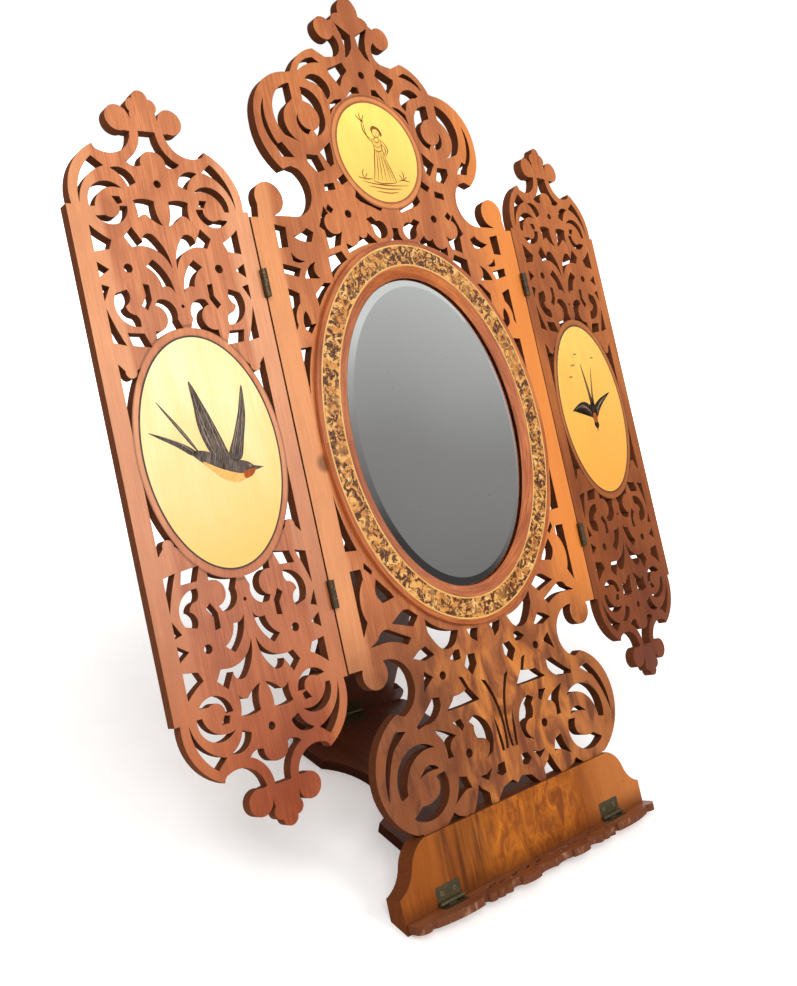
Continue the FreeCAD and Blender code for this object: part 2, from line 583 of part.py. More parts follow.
plinth = slab(plinth_face, plinth_back, plinth_front)
tongue_u = tongue_half * wide + fit_gap
tongue_low = (drawn_joint - tongue_depth) * tall - fit_gap
groove_box = slab(rect(-tongue_u, tongue_low, tongue_u, plinth_top + 1), -board - fit_gap, fit_gap)
floor_box = Part.makeBox(2 * half + 20, 200, 100, Vec(-half - 10, -100, -100))
floor_local = at(floor_box, panel_pose.inverse())

small_args = (small_hinge_length, small_leaf_depth, small_rise, small_knuckle_r, small_pin_r)
stand_args = (stand_hinge_length, small_leaf_depth, small_rise, small_knuckle_r, small_pin_r)
small_start = -small_knuckle_r / 2
small_pin = Part.makeCylinder(small_pin_r, small_hinge_length, Vec(0, -small_hinge_length / 2, 0),
                              Vec(0, 1, 0))
stand_pin = Part.makeCylinder(small_pin_r, stand_hinge_length, Vec(0, -stand_hinge_length / 2, 0),
                              Vec(0, 1, 0))
lay = FreeCAD.Rotation(Vec(0, 0, 1), -90)


def cross_spot(u, v, n):
    # Turns a hinge drawn about v so that its axis runs along u.
    return FreeCAD.Placement(Vec(u, v, n), lay)


def cross(vector):
    return lay.inverted().multVec(vector)


# Ledge: a scalloped, pierced shelf hinged to the face of the plinth.
ledge_top = -foot_drop + ledge_drop
ledge_axis_v = ledge_top + small_rise
ledge_axis_n = plinth_front + small_rise
up = Vec(0, 1, 0)
out = Vec(0, 0, 1)
plinth_leaf, plinth_plate = hinge_leaf(*small_args, cross(up), cross(out), True, small_start)
ledge_args = (small_hinge_length, ledge_leaf_depth, small_rise, small_knuckle_r, small_pin_r)
ledge_leaf, ledge_plate = hinge_leaf(*ledge_args, cross(out), cross(up), False, small_start)
plinth_tools = [groove_box, floor_local]
ledge_tools = []
for tag, u in (("left", -ledge_hinge_u * wide), ("right", ledge_hinge_u * wide)):
    spot = cross_spot(u, ledge_axis_v, ledge_axis_n)
    save("ledge_leaf_" + tag, at(ledge_leaf, spot), panel_pose)
    save("ledge_pin_" + tag, at(small_pin, spot), panel_pose)
    plinth_tools += [at(t, spot) for t in pocket(plinth_plate, cross(out))]
    ledge_tools += [at(t, spot) for t in pocket(ledge_plate, cross(up))]
    # Screw heads sit in counterbores, level with the leaf.
    seats = []
    for number, du in ((1, -screw_spread), (2, screw_spread)):
        seat = Vec(u + du, ledge_axis_v + screw_up, plinth_front - screw_deep)
        seats.append(Part.makeCylinder(screw_r + let_in, screw_deep + 1, seat, out))
        head = Part.makeCylinder(screw_r, screw_deep, seat, out)
        save("plinth_screw_" + tag + "_" + str(number), head, panel_pose)
    save("plinth_leaf_" + tag, cut_all(at(plinth_leaf, spot), seats), panel_pose)

ledge_back = plinth_front + knuckle_play
ledge_half = half - 1.0
ledge_wide = ledge_half / 116.4
ledge_deep = ledge_depth / 18.0


def on_ledge(across_u, depth, sign):
    return Vec(sign * across_u * ledge_wide, ledge_back + depth * ledge_deep, 0)


# Front edge of the ledge, right half from the middle out, drawn 18 deep: start, bulge point.
ledge_front = [(0, 17.0, 8, 14.6), (16.4, 16.0, 16.6, 17.4), (17.6, 18.0, 25, 19.2), (32.4, 18.0, 33.4, 17.2),
               (33.6, 15.4, 38, 13.8), (42, 15.6, 45.4, 17.8), (49, 15.8, 52.4, 17.8), (56, 15.6, 59.4, 17.4),
               (62.6, 15.4, 64.8, 12.2), (67, 15.6, 86, 16.0), (104, 12.0, 106, 10.4),
               (108, 11.6, 113.4, 11.8)]
ledge_end = (116.4, 6.0)
front_edges = []
for sign in (1, -1):
    for i, (u0, d0, um, dm) in enumerate(ledge_front):
        u1, d1 = ledge_front[i + 1][:2] if i + 1 < len(ledge_front) else ledge_end
        arc = Part.Arc(on_ledge(u0, d0, sign), on_ledge(um, dm, sign), on_ledge(u1, d1, sign))
        front_edges.append(arc.toShape())
    front_edges.append(Part.makeLine(on_ledge(*ledge_end, sign), on_ledge(ledge_end[0], 0, sign)))
front_edges.append(Part.makeLine(on_ledge(ledge_end[0], 0, 1), on_ledge(ledge_end[0], 0, -1)))
ledge_face = flat(Part.__sortEdges__(front_edges))
piercings = []
for i in range(5):
    u = (7.0 + 11.6 * i) * ledge_wide
    for sign in (1, -1):
        inner = on_ledge(u - 4.0, 5.0, sign)
        outer = on_ledge(u + 4.0, 8.6, sign)
        piercings.append(leaf(inner.x, inner.y, outer.x, outer.y, 1.5, 1.5))
        eye = on_ledge(u + 5.8, 5.4 if i % 2 else 10.6, sign)
        piercings.append(disc(eye.x, eye.y, 1.2))
ledge_face = ledge_face.cut(piercings)
ledge_slab = slab(ledge_face, 0, ledge_thick)
# The drawing's second axis is the ledge's depth, so it is turned to stand out from the plinth.
ledge_turn = FreeCAD.Placement(Vec(0, ledge_top, 0), FreeCAD.Rotation(Vec(1, 0, 0), 90))
save("ledge_board", cut_all(at(ledge_slab, ledge_turn), ledge_tools), panel_pose)

# Foot board, flat on the floor behind the plinth, hinged to the plinth's back.
foot_axis_z = stand_thick + small_rise
foot_axis_y = (small_rise - plinth_back + foot_axis_z * sin_lean) / cos_lean
foot_front = foot_axis_y - foot_gap
back_leaf_along = Vec(0, sin_lean, cos_lean)
back_leaf_facing = Vec(0, cos_lean, -sin_lean)
rearward = Vec(0, 1, 0)
upward = Vec(0, 0, 1)
back_leaf, back_plate = hinge_leaf(*stand_args, cross(back_leaf_along), cross(back_leaf_facing),
                                   True, small_start)
foot_leaf, foot_plate = hinge_leaf(*stand_args, cross(rearward), cross(upward), False, small_start)
foot_tools = []
for tag, u in (("left", -foot_hinge_u * wide), ("right", foot_hinge_u * wide)):
    spot = cross_spot(u, foot_axis_y, foot_axis_z)
    save("back_leaf_" + tag, at(back_leaf, spot))
    save("foot_leaf_" + tag, at(foot_leaf, spot))
    save("foot_pin_" + tag, at(stand_pin, spot))
    for tool in pocket(back_plate, cross(back_leaf_facing)):
        plinth_tools.append(at(at(tool, spot), panel_pose.inverse()))
    foot_tools += [at(t, spot) for t in pocket(foot_plate, cross(upward))]
save("plinth", cut_all(plinth, plinth_tools), panel_pose)

rear_in = foot_rear - 38.0
front_in = foot_rear - 114.0
waist_y = (rear_in + front_in) / 2
foot_round = 7.0


def corner(u, y, du, dy):
    # A quarter round from (u - du, y) to (u, y - dy).
    k = math.sqrt(0.5)
    mid = Vec(u - du + du * k, y - dy + dy * k, 0)
    return Part.Arc(Vec(u - du, y, 0), mid, Vec(u, y - dy, 0)).toShape()


def half_outline(rear_half, waist, front_half, y0, y1, y2, y3, ym):
    # Right side of a waisted board from its rear edge y0 to its front edge y3.
    edges = [corner(rear_half, y0, foot_round, foot_round)]
    edges.append(Part.makeLine(Vec(rear_half, y0 - foot_round, 0), Vec(rear_half - 1.0, y1, 0)))
    p0 = Vec(rear_half - 1.0, y1, 0)
    p1 = Vec(front_half - 1.0, y2, 0)
    edges.append(Part.Arc(p0, Vec(waist, ym, 0), p1).toShape())
    edges.append(Part.makeLine(p1, Vec(front_half, y3 + foot_round, 0)))
    edges.append(corner(front_half, y3, foot_round, -foot_round))
    return edges


def waisted(rear_half, waist, front_half, y0, y1, y2, y3, ym):
    side = half_outline(rear_half, waist, front_half, y0, y1, y2, y3, ym)
    other = [e.mirror(Vec(0, 0, 0), Vec(1, 0, 0)) for e in side]
    rear = Part.makeLine(Vec(-(rear_half - foot_round), y0, 0), Vec(rear_half - foot_round, y0, 0))
    front = Part.makeLine(Vec(-(front_half - foot_round), y3, 0), Vec(front_half - foot_round, y3, 0))
    return Part.Face(Part.Wire(Part.__sortEdges__(side + other + [rear, front])))


foot_face = waisted(foot_rear_half * wide, foot_waist_half * wide, foot_front_half * wide,
                    foot_rear, rear_in, front_in, foot_front, waist_y)
foot_slab = slab(foot_face, 0, stand_thick)

# Prop: stands behind the foot board's rear edge and leans its head on the mirror's back.
tilt = math.radians(prop_lean)
prop_axis = Vec(0, foot_rear, stand_thick + small_rise)
prop_up = Vec(0, -math.sin(tilt), math.cos(tilt))
prop_rear = Vec(0, math.cos(tilt), math.sin(tilt))
panel_out = Vec(0, -cos_lean, sin_lean)
start_point = prop_axis + prop_rear * small_rise
prop_reach = (back_face - prop_gap - start_point.dot(panel_out)) / prop_up.dot(panel_out)
prop_below = stand_thick + small_rise - 1.5
prop_leaf, prop_plate = hinge_leaf(*stand_args, cross(prop_up), cross(prop_rear * -1), True, small_start)
rear_leaf, rear_plate = hinge_leaf(*stand_args, cross(rearward * -1), cross(upward), False, small_start)
prop_spot = cross_spot(0, prop_axis.y, prop_axis.z)
save("prop_leaf", at(prop_leaf, prop_spot))
save("foot_rear_leaf", at(rear_leaf, prop_spot))
save("prop_pin", at(stand_pin, prop_spot))
foot_tools += [at(t, prop_spot) for t in pocket(rear_plate, cross(upward))]
save("foot_board", cut_all(foot_slab, foot_tools))

low = -prop_below
bar_top = low + prop_foot_high
prop_faces = [bar(-(prop_foot_half - 7) * wide, low + prop_foot_high / 2, (prop_foot_half - 7) * wide,
                  low + prop_foot_high / 2, prop_foot_high)]
body_points = [(-prop_half * wide, bar_top - 3), (prop_half * wide, bar_top - 3),
               (prop_head_half * wide, prop_reach - 20), (prop_head_half * wide - 12, prop_reach),
               (-prop_head_half * wide + 12, prop_reach), (-prop_head_half * wide, prop_reach - 20)]
prop_faces.append(outline(body_points))
prop_face = joined(prop_faces)
prop_slab = slab(prop_face, -stand_thick, 0)
prop_turn = FreeCAD.Rotation(Vec(1, 0, 0), 90 + prop_lean)
prop_pose = FreeCAD.Placement(start_point, prop_turn)
prop_board = at(prop_slab, prop_pose)
prop_tools = [at(t, prop_spot) for t in pocket(prop_plate, cross(prop_rear * -1))]
save("prop_board", cut_all(prop_board, prop_tools))

# Cleat above the prop's head, against which the head lodges.
head_point = start_point + prop_up * prop_reach
head_v = panel_pose.inverse().multVec(head_point).y
cleat_face = bar(-prop_head_half * wide, head_v + 11, prop_head_half * wide, head_v + 11, 10)
save("prop_cleat", slab(cleat_face, back_face - cleat_deep, back_face), panel_pose)
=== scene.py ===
import math

import bmesh
import bpy
from mathutils import Matrix, Vector


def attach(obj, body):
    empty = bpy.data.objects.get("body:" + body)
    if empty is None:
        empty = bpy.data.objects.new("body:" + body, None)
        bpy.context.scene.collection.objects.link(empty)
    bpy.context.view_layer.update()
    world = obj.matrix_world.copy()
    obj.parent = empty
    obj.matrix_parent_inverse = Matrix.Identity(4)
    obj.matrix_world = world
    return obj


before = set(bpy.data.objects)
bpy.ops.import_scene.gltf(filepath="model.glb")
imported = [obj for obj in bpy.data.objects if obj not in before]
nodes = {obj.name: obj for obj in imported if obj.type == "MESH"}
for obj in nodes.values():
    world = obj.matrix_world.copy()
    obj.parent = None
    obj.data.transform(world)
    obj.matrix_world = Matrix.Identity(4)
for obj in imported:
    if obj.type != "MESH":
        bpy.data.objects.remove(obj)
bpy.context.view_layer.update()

scene = bpy.context.scene

# Sizes in metres, angles in degrees. On the panel u runs across, v up and n out of the front face.
LEAN = 30.0
FOOT_DROP = 0.326
OVAL_V = -0.0345
FRAME_A = 0.101
FRAME_B = 0.1305
ROUNDEL_V = 0.1585
ROUNDEL_R = 0.0348
WING_OVAL_A = 0.0432
WING_OVAL_B = 0.066
WING_OVAL_U = 0.1765
WING_OVAL_V = -0.031
HINGE_U = 0.118
HINGE_N = 0.0022
LEFT_WING_BACK = -0.9
RIGHT_WING_BACK = 6.5
INK = 0.00006

PANEL_TURN = Matrix.Rotation(math.radians(90 - LEAN), 3, "X")
PANEL_OUT = PANEL_TURN @ Vector((0, 0, 1))
PANEL_UP = PANEL_TURN @ Vector((0, 1, 0))
PANEL_ORIGIN = PANEL_UP * FOOT_DROP


def on_panel(u, v, n):
    return PANEL_ORIGIN + Vector((u, 0, 0)) + PANEL_UP * v + PANEL_OUT * n


# Materials

class Nodes:
    """A short way to write a material's node tree."""

    def __init__(self, name):
        self.material = bpy.data.materials.new(name)
        self.material.use_nodes = True
        self.tree = self.material.node_tree
        self.shader = self.tree.nodes["Principled BSDF"]
        self.coords = self.tree.nodes.new("ShaderNodeTexCoord")

    def new(self, kind, **settings):
        node = self.tree.nodes.new("ShaderNode" + kind)
        for key, value in settings.items():
            setattr(node, key, value)
        return node

    def link(self, out, socket):
        self.tree.links.new(out, socket)

    def put(self, socket, value):
        if isinstance(value, bpy.types.NodeSocket):
            self.link(value, socket)
        elif value is not None:
            socket.default_value = value

    def set(self, **values):
        for key, value in values.items():
            self.put(self.shader.inputs[key.replace("_", " ")], value)

    def mapped(self, rotation=(0, 0, 0), scale=(1, 1, 1), location=(0, 0, 0), source=None):
        node = self.new("Mapping")
        node.inputs["Rotation"].default_value = [math.radians(a) for a in rotation]
        node.inputs["Scale"].default_value = scale
        node.inputs["Location"].default_value = location
        self.link(source or self.coords.outputs["Object"], node.inputs["Vector"])
        return node.outputs["Vector"]

    def noise(self, vector, scale, detail=3.0, rough=0.5, warp=0.0):
        node = self.new("TexNoise")
        self.link(vector, node.inputs["Vector"])
        node.inputs["Scale"].default_value = scale
        node.inputs["Detail"].default_value = detail
        node.inputs["Roughness"].default_value = rough
        node.inputs["Distortion"].default_value = warp
        return node.outputs["Fac"]

    def cells(self, vector, scale, feature="F1"):
        node = self.new("TexVoronoi", feature=feature)
        self.link(vector, node.inputs["Vector"])
        node.inputs["Scale"].default_value = scale
        return node

    def ramp(self, value, stops, smooth=False):
        node = self.new("ValToRGB")
        node.color_ramp.interpolation = "EASE" if smooth else "LINEAR"
        elements = node.color_ramp.elements
        while len(elements) < len(stops):
            elements.new(0.5)
        for element, (place, colour) in zip(elements, stops):
            element.position = place
            grey = isinstance(colour, (int, float))
            element.color = (colour, colour, colour, 1) if grey else (*colour, 1)
        self.link(value, node.inputs["Fac"])
        return node.outputs["Color"]

    def mix(self, factor, a, b, blend="MIX"):
        node = self.new("Mix", data_type="RGBA", blend_type=blend)
        self.put(node.inputs[0], factor)
        for socket, value in ((node.inputs[6], a), (node.inputs[7], b)):
            self.put(socket, (*value, 1) if isinstance(value, tuple) and len(value) == 3 else value)
        return node.outputs[2]

    def math(self, operation, a, b=None, clamp=False):
        node = self.new("Math", operation=operation, use_clamp=clamp)
        self.put(node.inputs[0], a)
        self.put(node.inputs[1], b)
        return node.outputs[0]

    def hypot(self, a, b):
        squares = self.math("ADD", self.math("MULTIPLY", a, a), self.math("MULTIPLY", b, b))
        return self.math("SQRT", squares)

    def dot(self, vector, other):
        node = self.new("VectorMath", operation="DOT_PRODUCT")
        self.put(node.inputs[0], vector)
        self.put(node.inputs[1], tuple(other))
        return node.outputs["Value"]

    def bump(self, height, distance, strength=1.0, soften=0.0):
        node = self.new("Bump")
        node.inputs["Distance"].default_value = distance
        node.inputs["Strength"].default_value = strength
        self.link(height, node.inputs["Height"])
        if soften:
            round_edge = self.new("Bevel", samples=6)
            round_edge.inputs["Radius"].default_value = soften
            self.link(round_edge.outputs[0], node.inputs["Normal"])
        self.link(node.outputs[0], self.shader.inputs["Normal"])


def grain_fields(m, vector):
    # Long fibres, slow figure, pores and blotches; the grain runs along the vector's second axis.
    fibre_map = m.mapped(scale=(1, 0.035, 1), source=vector)
    fibre = m.noise(fibre_map, 900, 4, 0.62, 0.3)
    figure_map = m.mapped(scale=(1, 0.14, 1), source=vector)
    figure = m.noise(figure_map, 70, 3, 0.55, 1.4)
    pore_map = m.mapped(scale=(1, 0.05, 1), source=vector)
    pores = m.noise(pore_map, 2400, 2, 0.5)
    blotch = m.noise(m.mapped(scale=(1, 0.6, 1), source=vector), 16, 3, 0.6, 0.6)
    return fibre, figure, pores, blotch


def wood(name, dark, middle, pale, edge, turn=(LEAN - 90, 0, 0), face=PANEL_OUT, gloss=0.3, stain=None,
         glow=None, wear=None, coat=0.18, shine=0.3):
    m = Nodes(name)
    vector = m.mapped(rotation=turn)
    fibre, figure, pores, blotch = grain_fields(m, vector)
    tone = m.math("ADD", m.math("MULTIPLY", fibre, 0.6), m.math("MULTIPLY", figure, 0.4))
    colour = m.ramp(tone, [(0.32, dark), (0.5, middle), (0.68, pale)])
    colour = m.mix(m.ramp(blotch, [(0.36, 0.6), (0.5, 0.0)]), colour, dark)
    colour = m.mix(m.ramp(blotch, [(0.52, 0.0), (0.7, 0.6)]), colour, pale)
    colour = m.mix(m.ramp(pores, [(0.28, 0.7), (0.42, 0.0)]), colour, dark)
    knots = m.cells(vector, 34)
    knot = m.math("MULTIPLY", m.ramp(knots.outputs["Distance"], [(0.02, 0.8), (0.05, 0.0)]),
                  m.ramp(knots.outputs["Color"], [(0.6, 0.0), (0.62, 1.0)]))
    colour = m.mix(knot, colour, tuple(c * 0.3 for c in dark))
    if stain:
        colour = stain(m, vector, colour)
    if glow:
        colour = glow(m, vector, colour)
    facing = m.math("ABSOLUTE", m.dot(m.coords.outputs["Normal"], face))
    sawn = m.ramp(facing, [(0.45, 1.0), (0.8, 0.0)])
    saw_lines = m.noise(m.mapped(rotation=turn, scale=(1, 1, 0.08)), 1400, 2, 0.5)
    sawn_colour = m.mix(m.ramp(saw_lines, [(0.35, 0.0), (0.65, 1.0)]), tuple(c * 0.72 for c in edge), edge)
    if wear:
        rubbed = m.noise(m.mapped(scale=(1, 1, 0.3)), 120, 4, 0.65, 0.4)
        sawn_colour = m.mix(m.ramp(rubbed, [(0.56, 0.0), (0.68, 0.75)]), sawn_colour, wear)
    colour = m.mix(sawn, colour, sawn_colour)
    m.set(Base_Color=colour)
    handled = m.noise(vector, 55, 4, 0.6, 0.4)
    polish = m.ramp(handled, [(0.3, gloss), (0.7, gloss + 0.16)])
    m.set(Roughness=m.mix(sawn, polish, (0.8, 0.8, 0.8)))
    m.set(Coat_Weight=m.math("MULTIPLY", m.math("SUBTRACT", 1.0, sawn), coat))
    m.set(Specular_IOR_Level=m.math("SUBTRACT", shine, m.math("MULTIPLY", sawn, shine * 0.85)))
    m.shader.inputs["Coat Roughness"].default_value = 0.22
    height = m.math("ADD", m.math("MULTIPLY", fibre, 0.6), m.math("MULTIPLY", pores, 0.4))
    height = m.math("ADD", height, m.math("MULTIPLY", saw_lines, m.math("MULTIPLY", sawn, 0.6)))
    m.bump(height, 0.00012, 0.55, 0.0007)
    return m.material


def zone(m, value, start, full, most=1.0):
    # Rises softly from nothing at start to most at full.
    node = m.new("MapRange", interpolation_type="SMOOTHSTEP")
    m.link(value, node.inputs["Value"])
    node.inputs["From Min"].default_value = start
    node.inputs["From Max"].default_value = full
    node.inputs["To Max"].default_value = most
    return node.outputs[0]


def across_and_up(m, vector):
    split = m.new("SeparateXYZ")
    m.link(vector, split.inputs[0])
    return split.outputs[0], split.outputs[1]


def painted_bead_shading(m, u, v, middle, half_sizes, colour, inner, outer, light):
    # Painted light standing in for a shallow bead round an inlay: a painted highlight ring with a painted
    # shade groove outside it.
    across = m.math("DIVIDE", m.math("SUBTRACT", u, middle[0]), half_sizes[0])
    upward = m.math("DIVIDE", m.math("SUBTRACT", v, middle[1] + FOOT_DROP), half_sizes[1])
    reach = m.hypot(across, upward)
    step = (outer - inner) * 0.3
    ring = m.math("MULTIPLY", zone(m, reach, inner, inner + step), zone(m, reach, outer, outer - step))
    # The ring gets a painted highlight.
    colour = m.mix(m.math("MULTIPLY", ring, light), colour, (0.78, 0.29, 0.08))
    # The groove outside it gets painted shade.
    groove_shade = m.math("MULTIPLY", zone(m, reach, outer - step, outer), zone(m, reach, outer + step, outer))
    return m.mix(m.math("MULTIPLY", groove_shade, 0.6), colour, (0.12, 0.034, 0.012))


def dark_streaks(m, vector, colour):
    # A dark stained stretch on the left of the plinth, a mottled golden one in the middle.
    u, v = across_and_up(m, vector)
    wander = m.noise(m.mapped(scale=(1, 0.3, 1), source=vector), 55, 4, 0.65, 0.8)
    shifted = m.math("ADD", u, m.math("MULTIPLY", m.math("SUBTRACT", wander, 0.5), 0.05))
    stained = m.math("MULTIPLY", zone(m, shifted, -0.086, -0.072), zone(m, shifted, -0.018, -0.045))
    streak = m.noise(m.mapped(scale=(1, 0.06, 1), source=vector), 260, 4, 0.6, 0.3)
    depth = m.math("MULTIPLY", stained, m.ramp(streak, [(0.32, 1.0), (0.62, 0.25)]))
    mottle = m.noise(m.mapped(scale=(1, 0.55, 1), source=vector), 95, 5, 0.7, 1.0)
    middle = m.math("MULTIPLY", zone(m, shifted, -0.055, -0.02), zone(m, shifted, 0.07, 0.03))
    golden = m.math("MULTIPLY", middle, m.ramp(mottle, [(0.44, 0.0), (0.66, 0.9)]))
    brown = m.math("MULTIPLY", middle, m.ramp(mottle, [(0.3, 0.75), (0.46, 0.0)]))
    colour = m.mix(brown, colour, (0.14, 0.033, 0.004))
    colour = m.mix(golden, colour, (0.58, 0.17, 0.012))
    colour = m.mix(m.math("MULTIPLY", depth, 0.85), colour, (0.045, 0.011, 0.003))
    colour = m.mix(zone(m, u, 0.05, 0.085, 0.5), colour, (0.56, 0.19, 0.05))
    colour = m.mix(zone(m, u, -0.05, -0.1, 0.45), colour, (0.19, 0.046, 0.007))
    # Darker along the bottom edge.
    darker_at_bottom = m.math("MULTIPLY", zone(m, v, 0.018, 0.004), 0.7)
    return m.mix(darker_at_bottom, colour, (0.09, 0.022, 0.006))


# Places of painted highlight on the lower fret: across, up and strength.
PAINTED_HIGHLIGHTS = ((-0.045, -0.188, 0.6), (0.045, -0.186, 0.55), (0.0, -0.186, 0.3), (-0.013, -0.218, 0.5),
         (0.013, -0.215, 0.25), (0.037, -0.24, 0.4), (0.0, -0.262, 0.3))
KNOT_PLACE = (-0.1018, -0.046)
KNOT_R = 0.006


def near(m, u, v, middle, reach, core, most):
    # Fades from most inside the core to nothing at the reach, about a place on the panel.
    across = m.math("SUBTRACT", u, middle[0])
    upward = m.math("SUBTRACT", v, middle[1] + FOOT_DROP)
    return zone(m, m.hypot(across, upward), reach, core, most)


def centre_tone_and_painted_light(m, vector, colour):
    # The lower part of the centre board is darker, with painted shade on its lower left, golden figure in the
    # middle, painted highlights on the flowers and painted bead shading round the roundel; the left stile
    # carries a painted highlight and the right stile is paler.
    u, v = across_and_up(m, vector)
    low = zone(m, v, 0.2, 0.12)
    colour = m.mix(m.math("MULTIPLY", low, 0.75), colour, m.mix(1.0, colour, (0.4, 0.32, 0.23), "MULTIPLY"))
    figure = m.noise(m.mapped(scale=(1, 0.4, 1), source=vector), 60, 4, 0.6, 1.0)
    # Painted shade on the lower left of the lower fret.
    colour = m.mix(m.math("MULTIPLY", low, zone(m, u, 0.0, -0.06, 0.4)), colour, (0.13, 0.036, 0.011))
    colour = m.mix(m.math("MULTIPLY", low, zone(m, u, 0.03, 0.08, 0.3)), colour, (0.58, 0.2, 0.05))
    heart = m.math("MULTIPLY", zone(m, u, -0.06, -0.01), zone(m, u, 0.1, 0.05))
    heart = m.math("MULTIPLY", heart, low)
    golden = m.math("MULTIPLY", heart, m.ramp(figure, [(0.47, 0.0), (0.66, 0.9)]))
    brown = m.math("MULTIPLY", low, m.ramp(figure, [(0.34, 0.8), (0.48, 0.0)]))
    colour = m.mix(golden, colour, (0.62, 0.21, 0.035))
    colour = m.mix(brown, colour, (0.1, 0.024, 0.006))
    colour = painted_bead_shading(m, u, v, (0, ROUNDEL_V), (ROUNDEL_R, ROUNDEL_R), colour, 1.03, 1.14, 0.5)
    lively = m.ramp(figure, [(0.4, 0.2), (0.6, 1.0)])
    # Painted highlights on the lower fret's flowers and stalk.
    for across, upward, most in PAINTED_HIGHLIGHTS:
        painted_highlight = m.math("MULTIPLY", near(m, u, v, (across, upward), 0.018, 0.003, most), lively)
        colour = m.mix(painted_highlight, colour, (0.64, 0.21, 0.035))
    # Painted highlight down the left stile above the lower fret; the right stile is paler.
    height = m.math("SUBTRACT", 1.0, low)
    colour = m.mix(m.math("MULTIPLY", height, zone(m, u, -0.097, -0.103, 0.45)), colour, (0.86, 0.38, 0.15))
    colour = m.mix(m.math("MULTIPLY", height, zone(m, u, 0.06, 0.105, 0.75)), colour, (0.78, 0.24, 0.032))
    knot = near(m, u, v, KNOT_PLACE, KNOT_R * 1.3, KNOT_R * 0.5, 0.7)
    return m.mix(knot, colour, (0.09, 0.025, 0.008))


def left_painted_light_and_foot_tone(m, vector, colour):
    # Painted sheen along both rails, painted bead shading round the oval, and darker towards the foot.
    u, v = across_and_up(m, vector)
    # Painted sheen on the outer and inner rails.
    colour = m.mix(zone(m, u, -0.212, -0.217, 0.45), colour, (0.84, 0.38, 0.17))
    colour = m.mix(zone(m, u, -0.139, -0.134, 0.4), colour, (0.84, 0.42, 0.22))
    colour = painted_bead_shading(m, u, v, (-WING_OVAL_U, WING_OVAL_V), (WING_OVAL_A, WING_OVAL_B), colour, 1.02, 1.1, 0.2)
    return m.mix(1.0, colour, m.ramp(v, [(0.1, (0.55, 0.31, 0.14)), (0.36, (1, 1, 1))]), "MULTIPLY")


def right_painted_bead_and_foot_tone(m, vector, colour):
    u, v = across_and_up(m, vector)
    # The right wing is turned back, so its oval is a little nearer the hinge and narrower from in front.
    middle = (WING_OVAL_U - 0.0006, WING_OVAL_V)
    # Painted bead shading round the oval.
    colour = painted_bead_shading(m, u, v, middle, (WING_OVAL_A * 0.994, WING_OVAL_B), colour, 1.02, 1.1, 0.25)
    # Darker towards the foot.
    return m.mix(1.0, colour, m.ramp(v, [(0.1, (0.35, 0.22, 0.105)), (0.42, (0.98, 0.94, 0.82))]), "MULTIPLY")


SAWN = (0.17, 0.05, 0.019)
centre_wood = wood("centre_wood", (0.29, 0.072, 0.018), (0.47, 0.138, 0.037), (0.65, 0.225, 0.066),
                   (0.12, 0.034, 0.012), glow=centre_tone_and_painted_light)
left_wood = wood("left_wing_wood", (0.36, 0.1, 0.034), (0.54, 0.175, 0.064), (0.7, 0.265, 0.105), SAWN,
                 glow=left_painted_light_and_foot_tone)
right_wood = wood("right_wing_wood", (0.26, 0.064, 0.014), (0.42, 0.118, 0.027), (0.58, 0.19, 0.046), SAWN,
                  glow=right_painted_bead_and_foot_tone, coat=0.1, shine=0.2)
plinth_wood = wood("plinth_wood", (0.2, 0.044, 0.004), (0.32, 0.08, 0.006), (0.44, 0.125, 0.012),
                   (0.17, 0.046, 0.014), stain=dark_streaks, coat=0.1, shine=0.15)
ledge_wood = wood("ledge_wood", (0.14, 0.04, 0.013), (0.23, 0.068, 0.022), (0.34, 0.115, 0.042),
                  (0.17, 0.056, 0.026), turn=(LEAN - 90, 0, 90), face=PANEL_UP, wear=(0.4, 0.21, 0.13))
foot_wood = wood("foot_wood", (0.055, 0.014, 0.006), (0.1, 0.026, 0.01), (0.16, 0.045, 0.016),
                 (0.05, 0.014, 0.007), turn=(0, 0, 0), face=Vector((0, 0, 1)), gloss=0.36)
prop_wood = wood("prop_wood", (0.055, 0.014, 0.006), (0.095, 0.024, 0.009), (0.15, 0.042, 0.015),
                 (0.05, 0.014, 0.007), turn=(-90, 0, 0), face=Vector((0, 1, 0)), gloss=0.36)
back_wood = wood("back_wood", (0.14, 0.05, 0.02), (0.22, 0.085, 0.035), (0.32, 0.13, 0.06),
                 (0.12, 0.04, 0.018), gloss=0.5)


def ring_vector(m):
    # Distance along the oval and across it, in metres, so that a pattern follows the moulding.
    local = m.mapped(rotation=(LEAN - 90, 0, 0), location=(0, -FOOT_DROP - OVAL_V, 0))
    split = m.new("SeparateXYZ")
    m.link(local, split.inputs[0])
    across = m.math("DIVIDE", split.outputs[0], FRAME_A)
    upward = m.math("DIVIDE", split.outputs[1], FRAME_B)
    angle = m.math("ARCTAN2", upward, across)
    reach = m.hypot(across, upward)
    mean = (FRAME_A + FRAME_B) / 2
    joined = m.new("CombineXYZ")
    m.link(m.math("MULTIPLY", angle, mean), joined.inputs[0])
    m.link(m.math("MULTIPLY", reach, mean), joined.inputs[1])
    m.link(split.outputs[2], joined.inputs[2])
    return joined.outputs[0], local


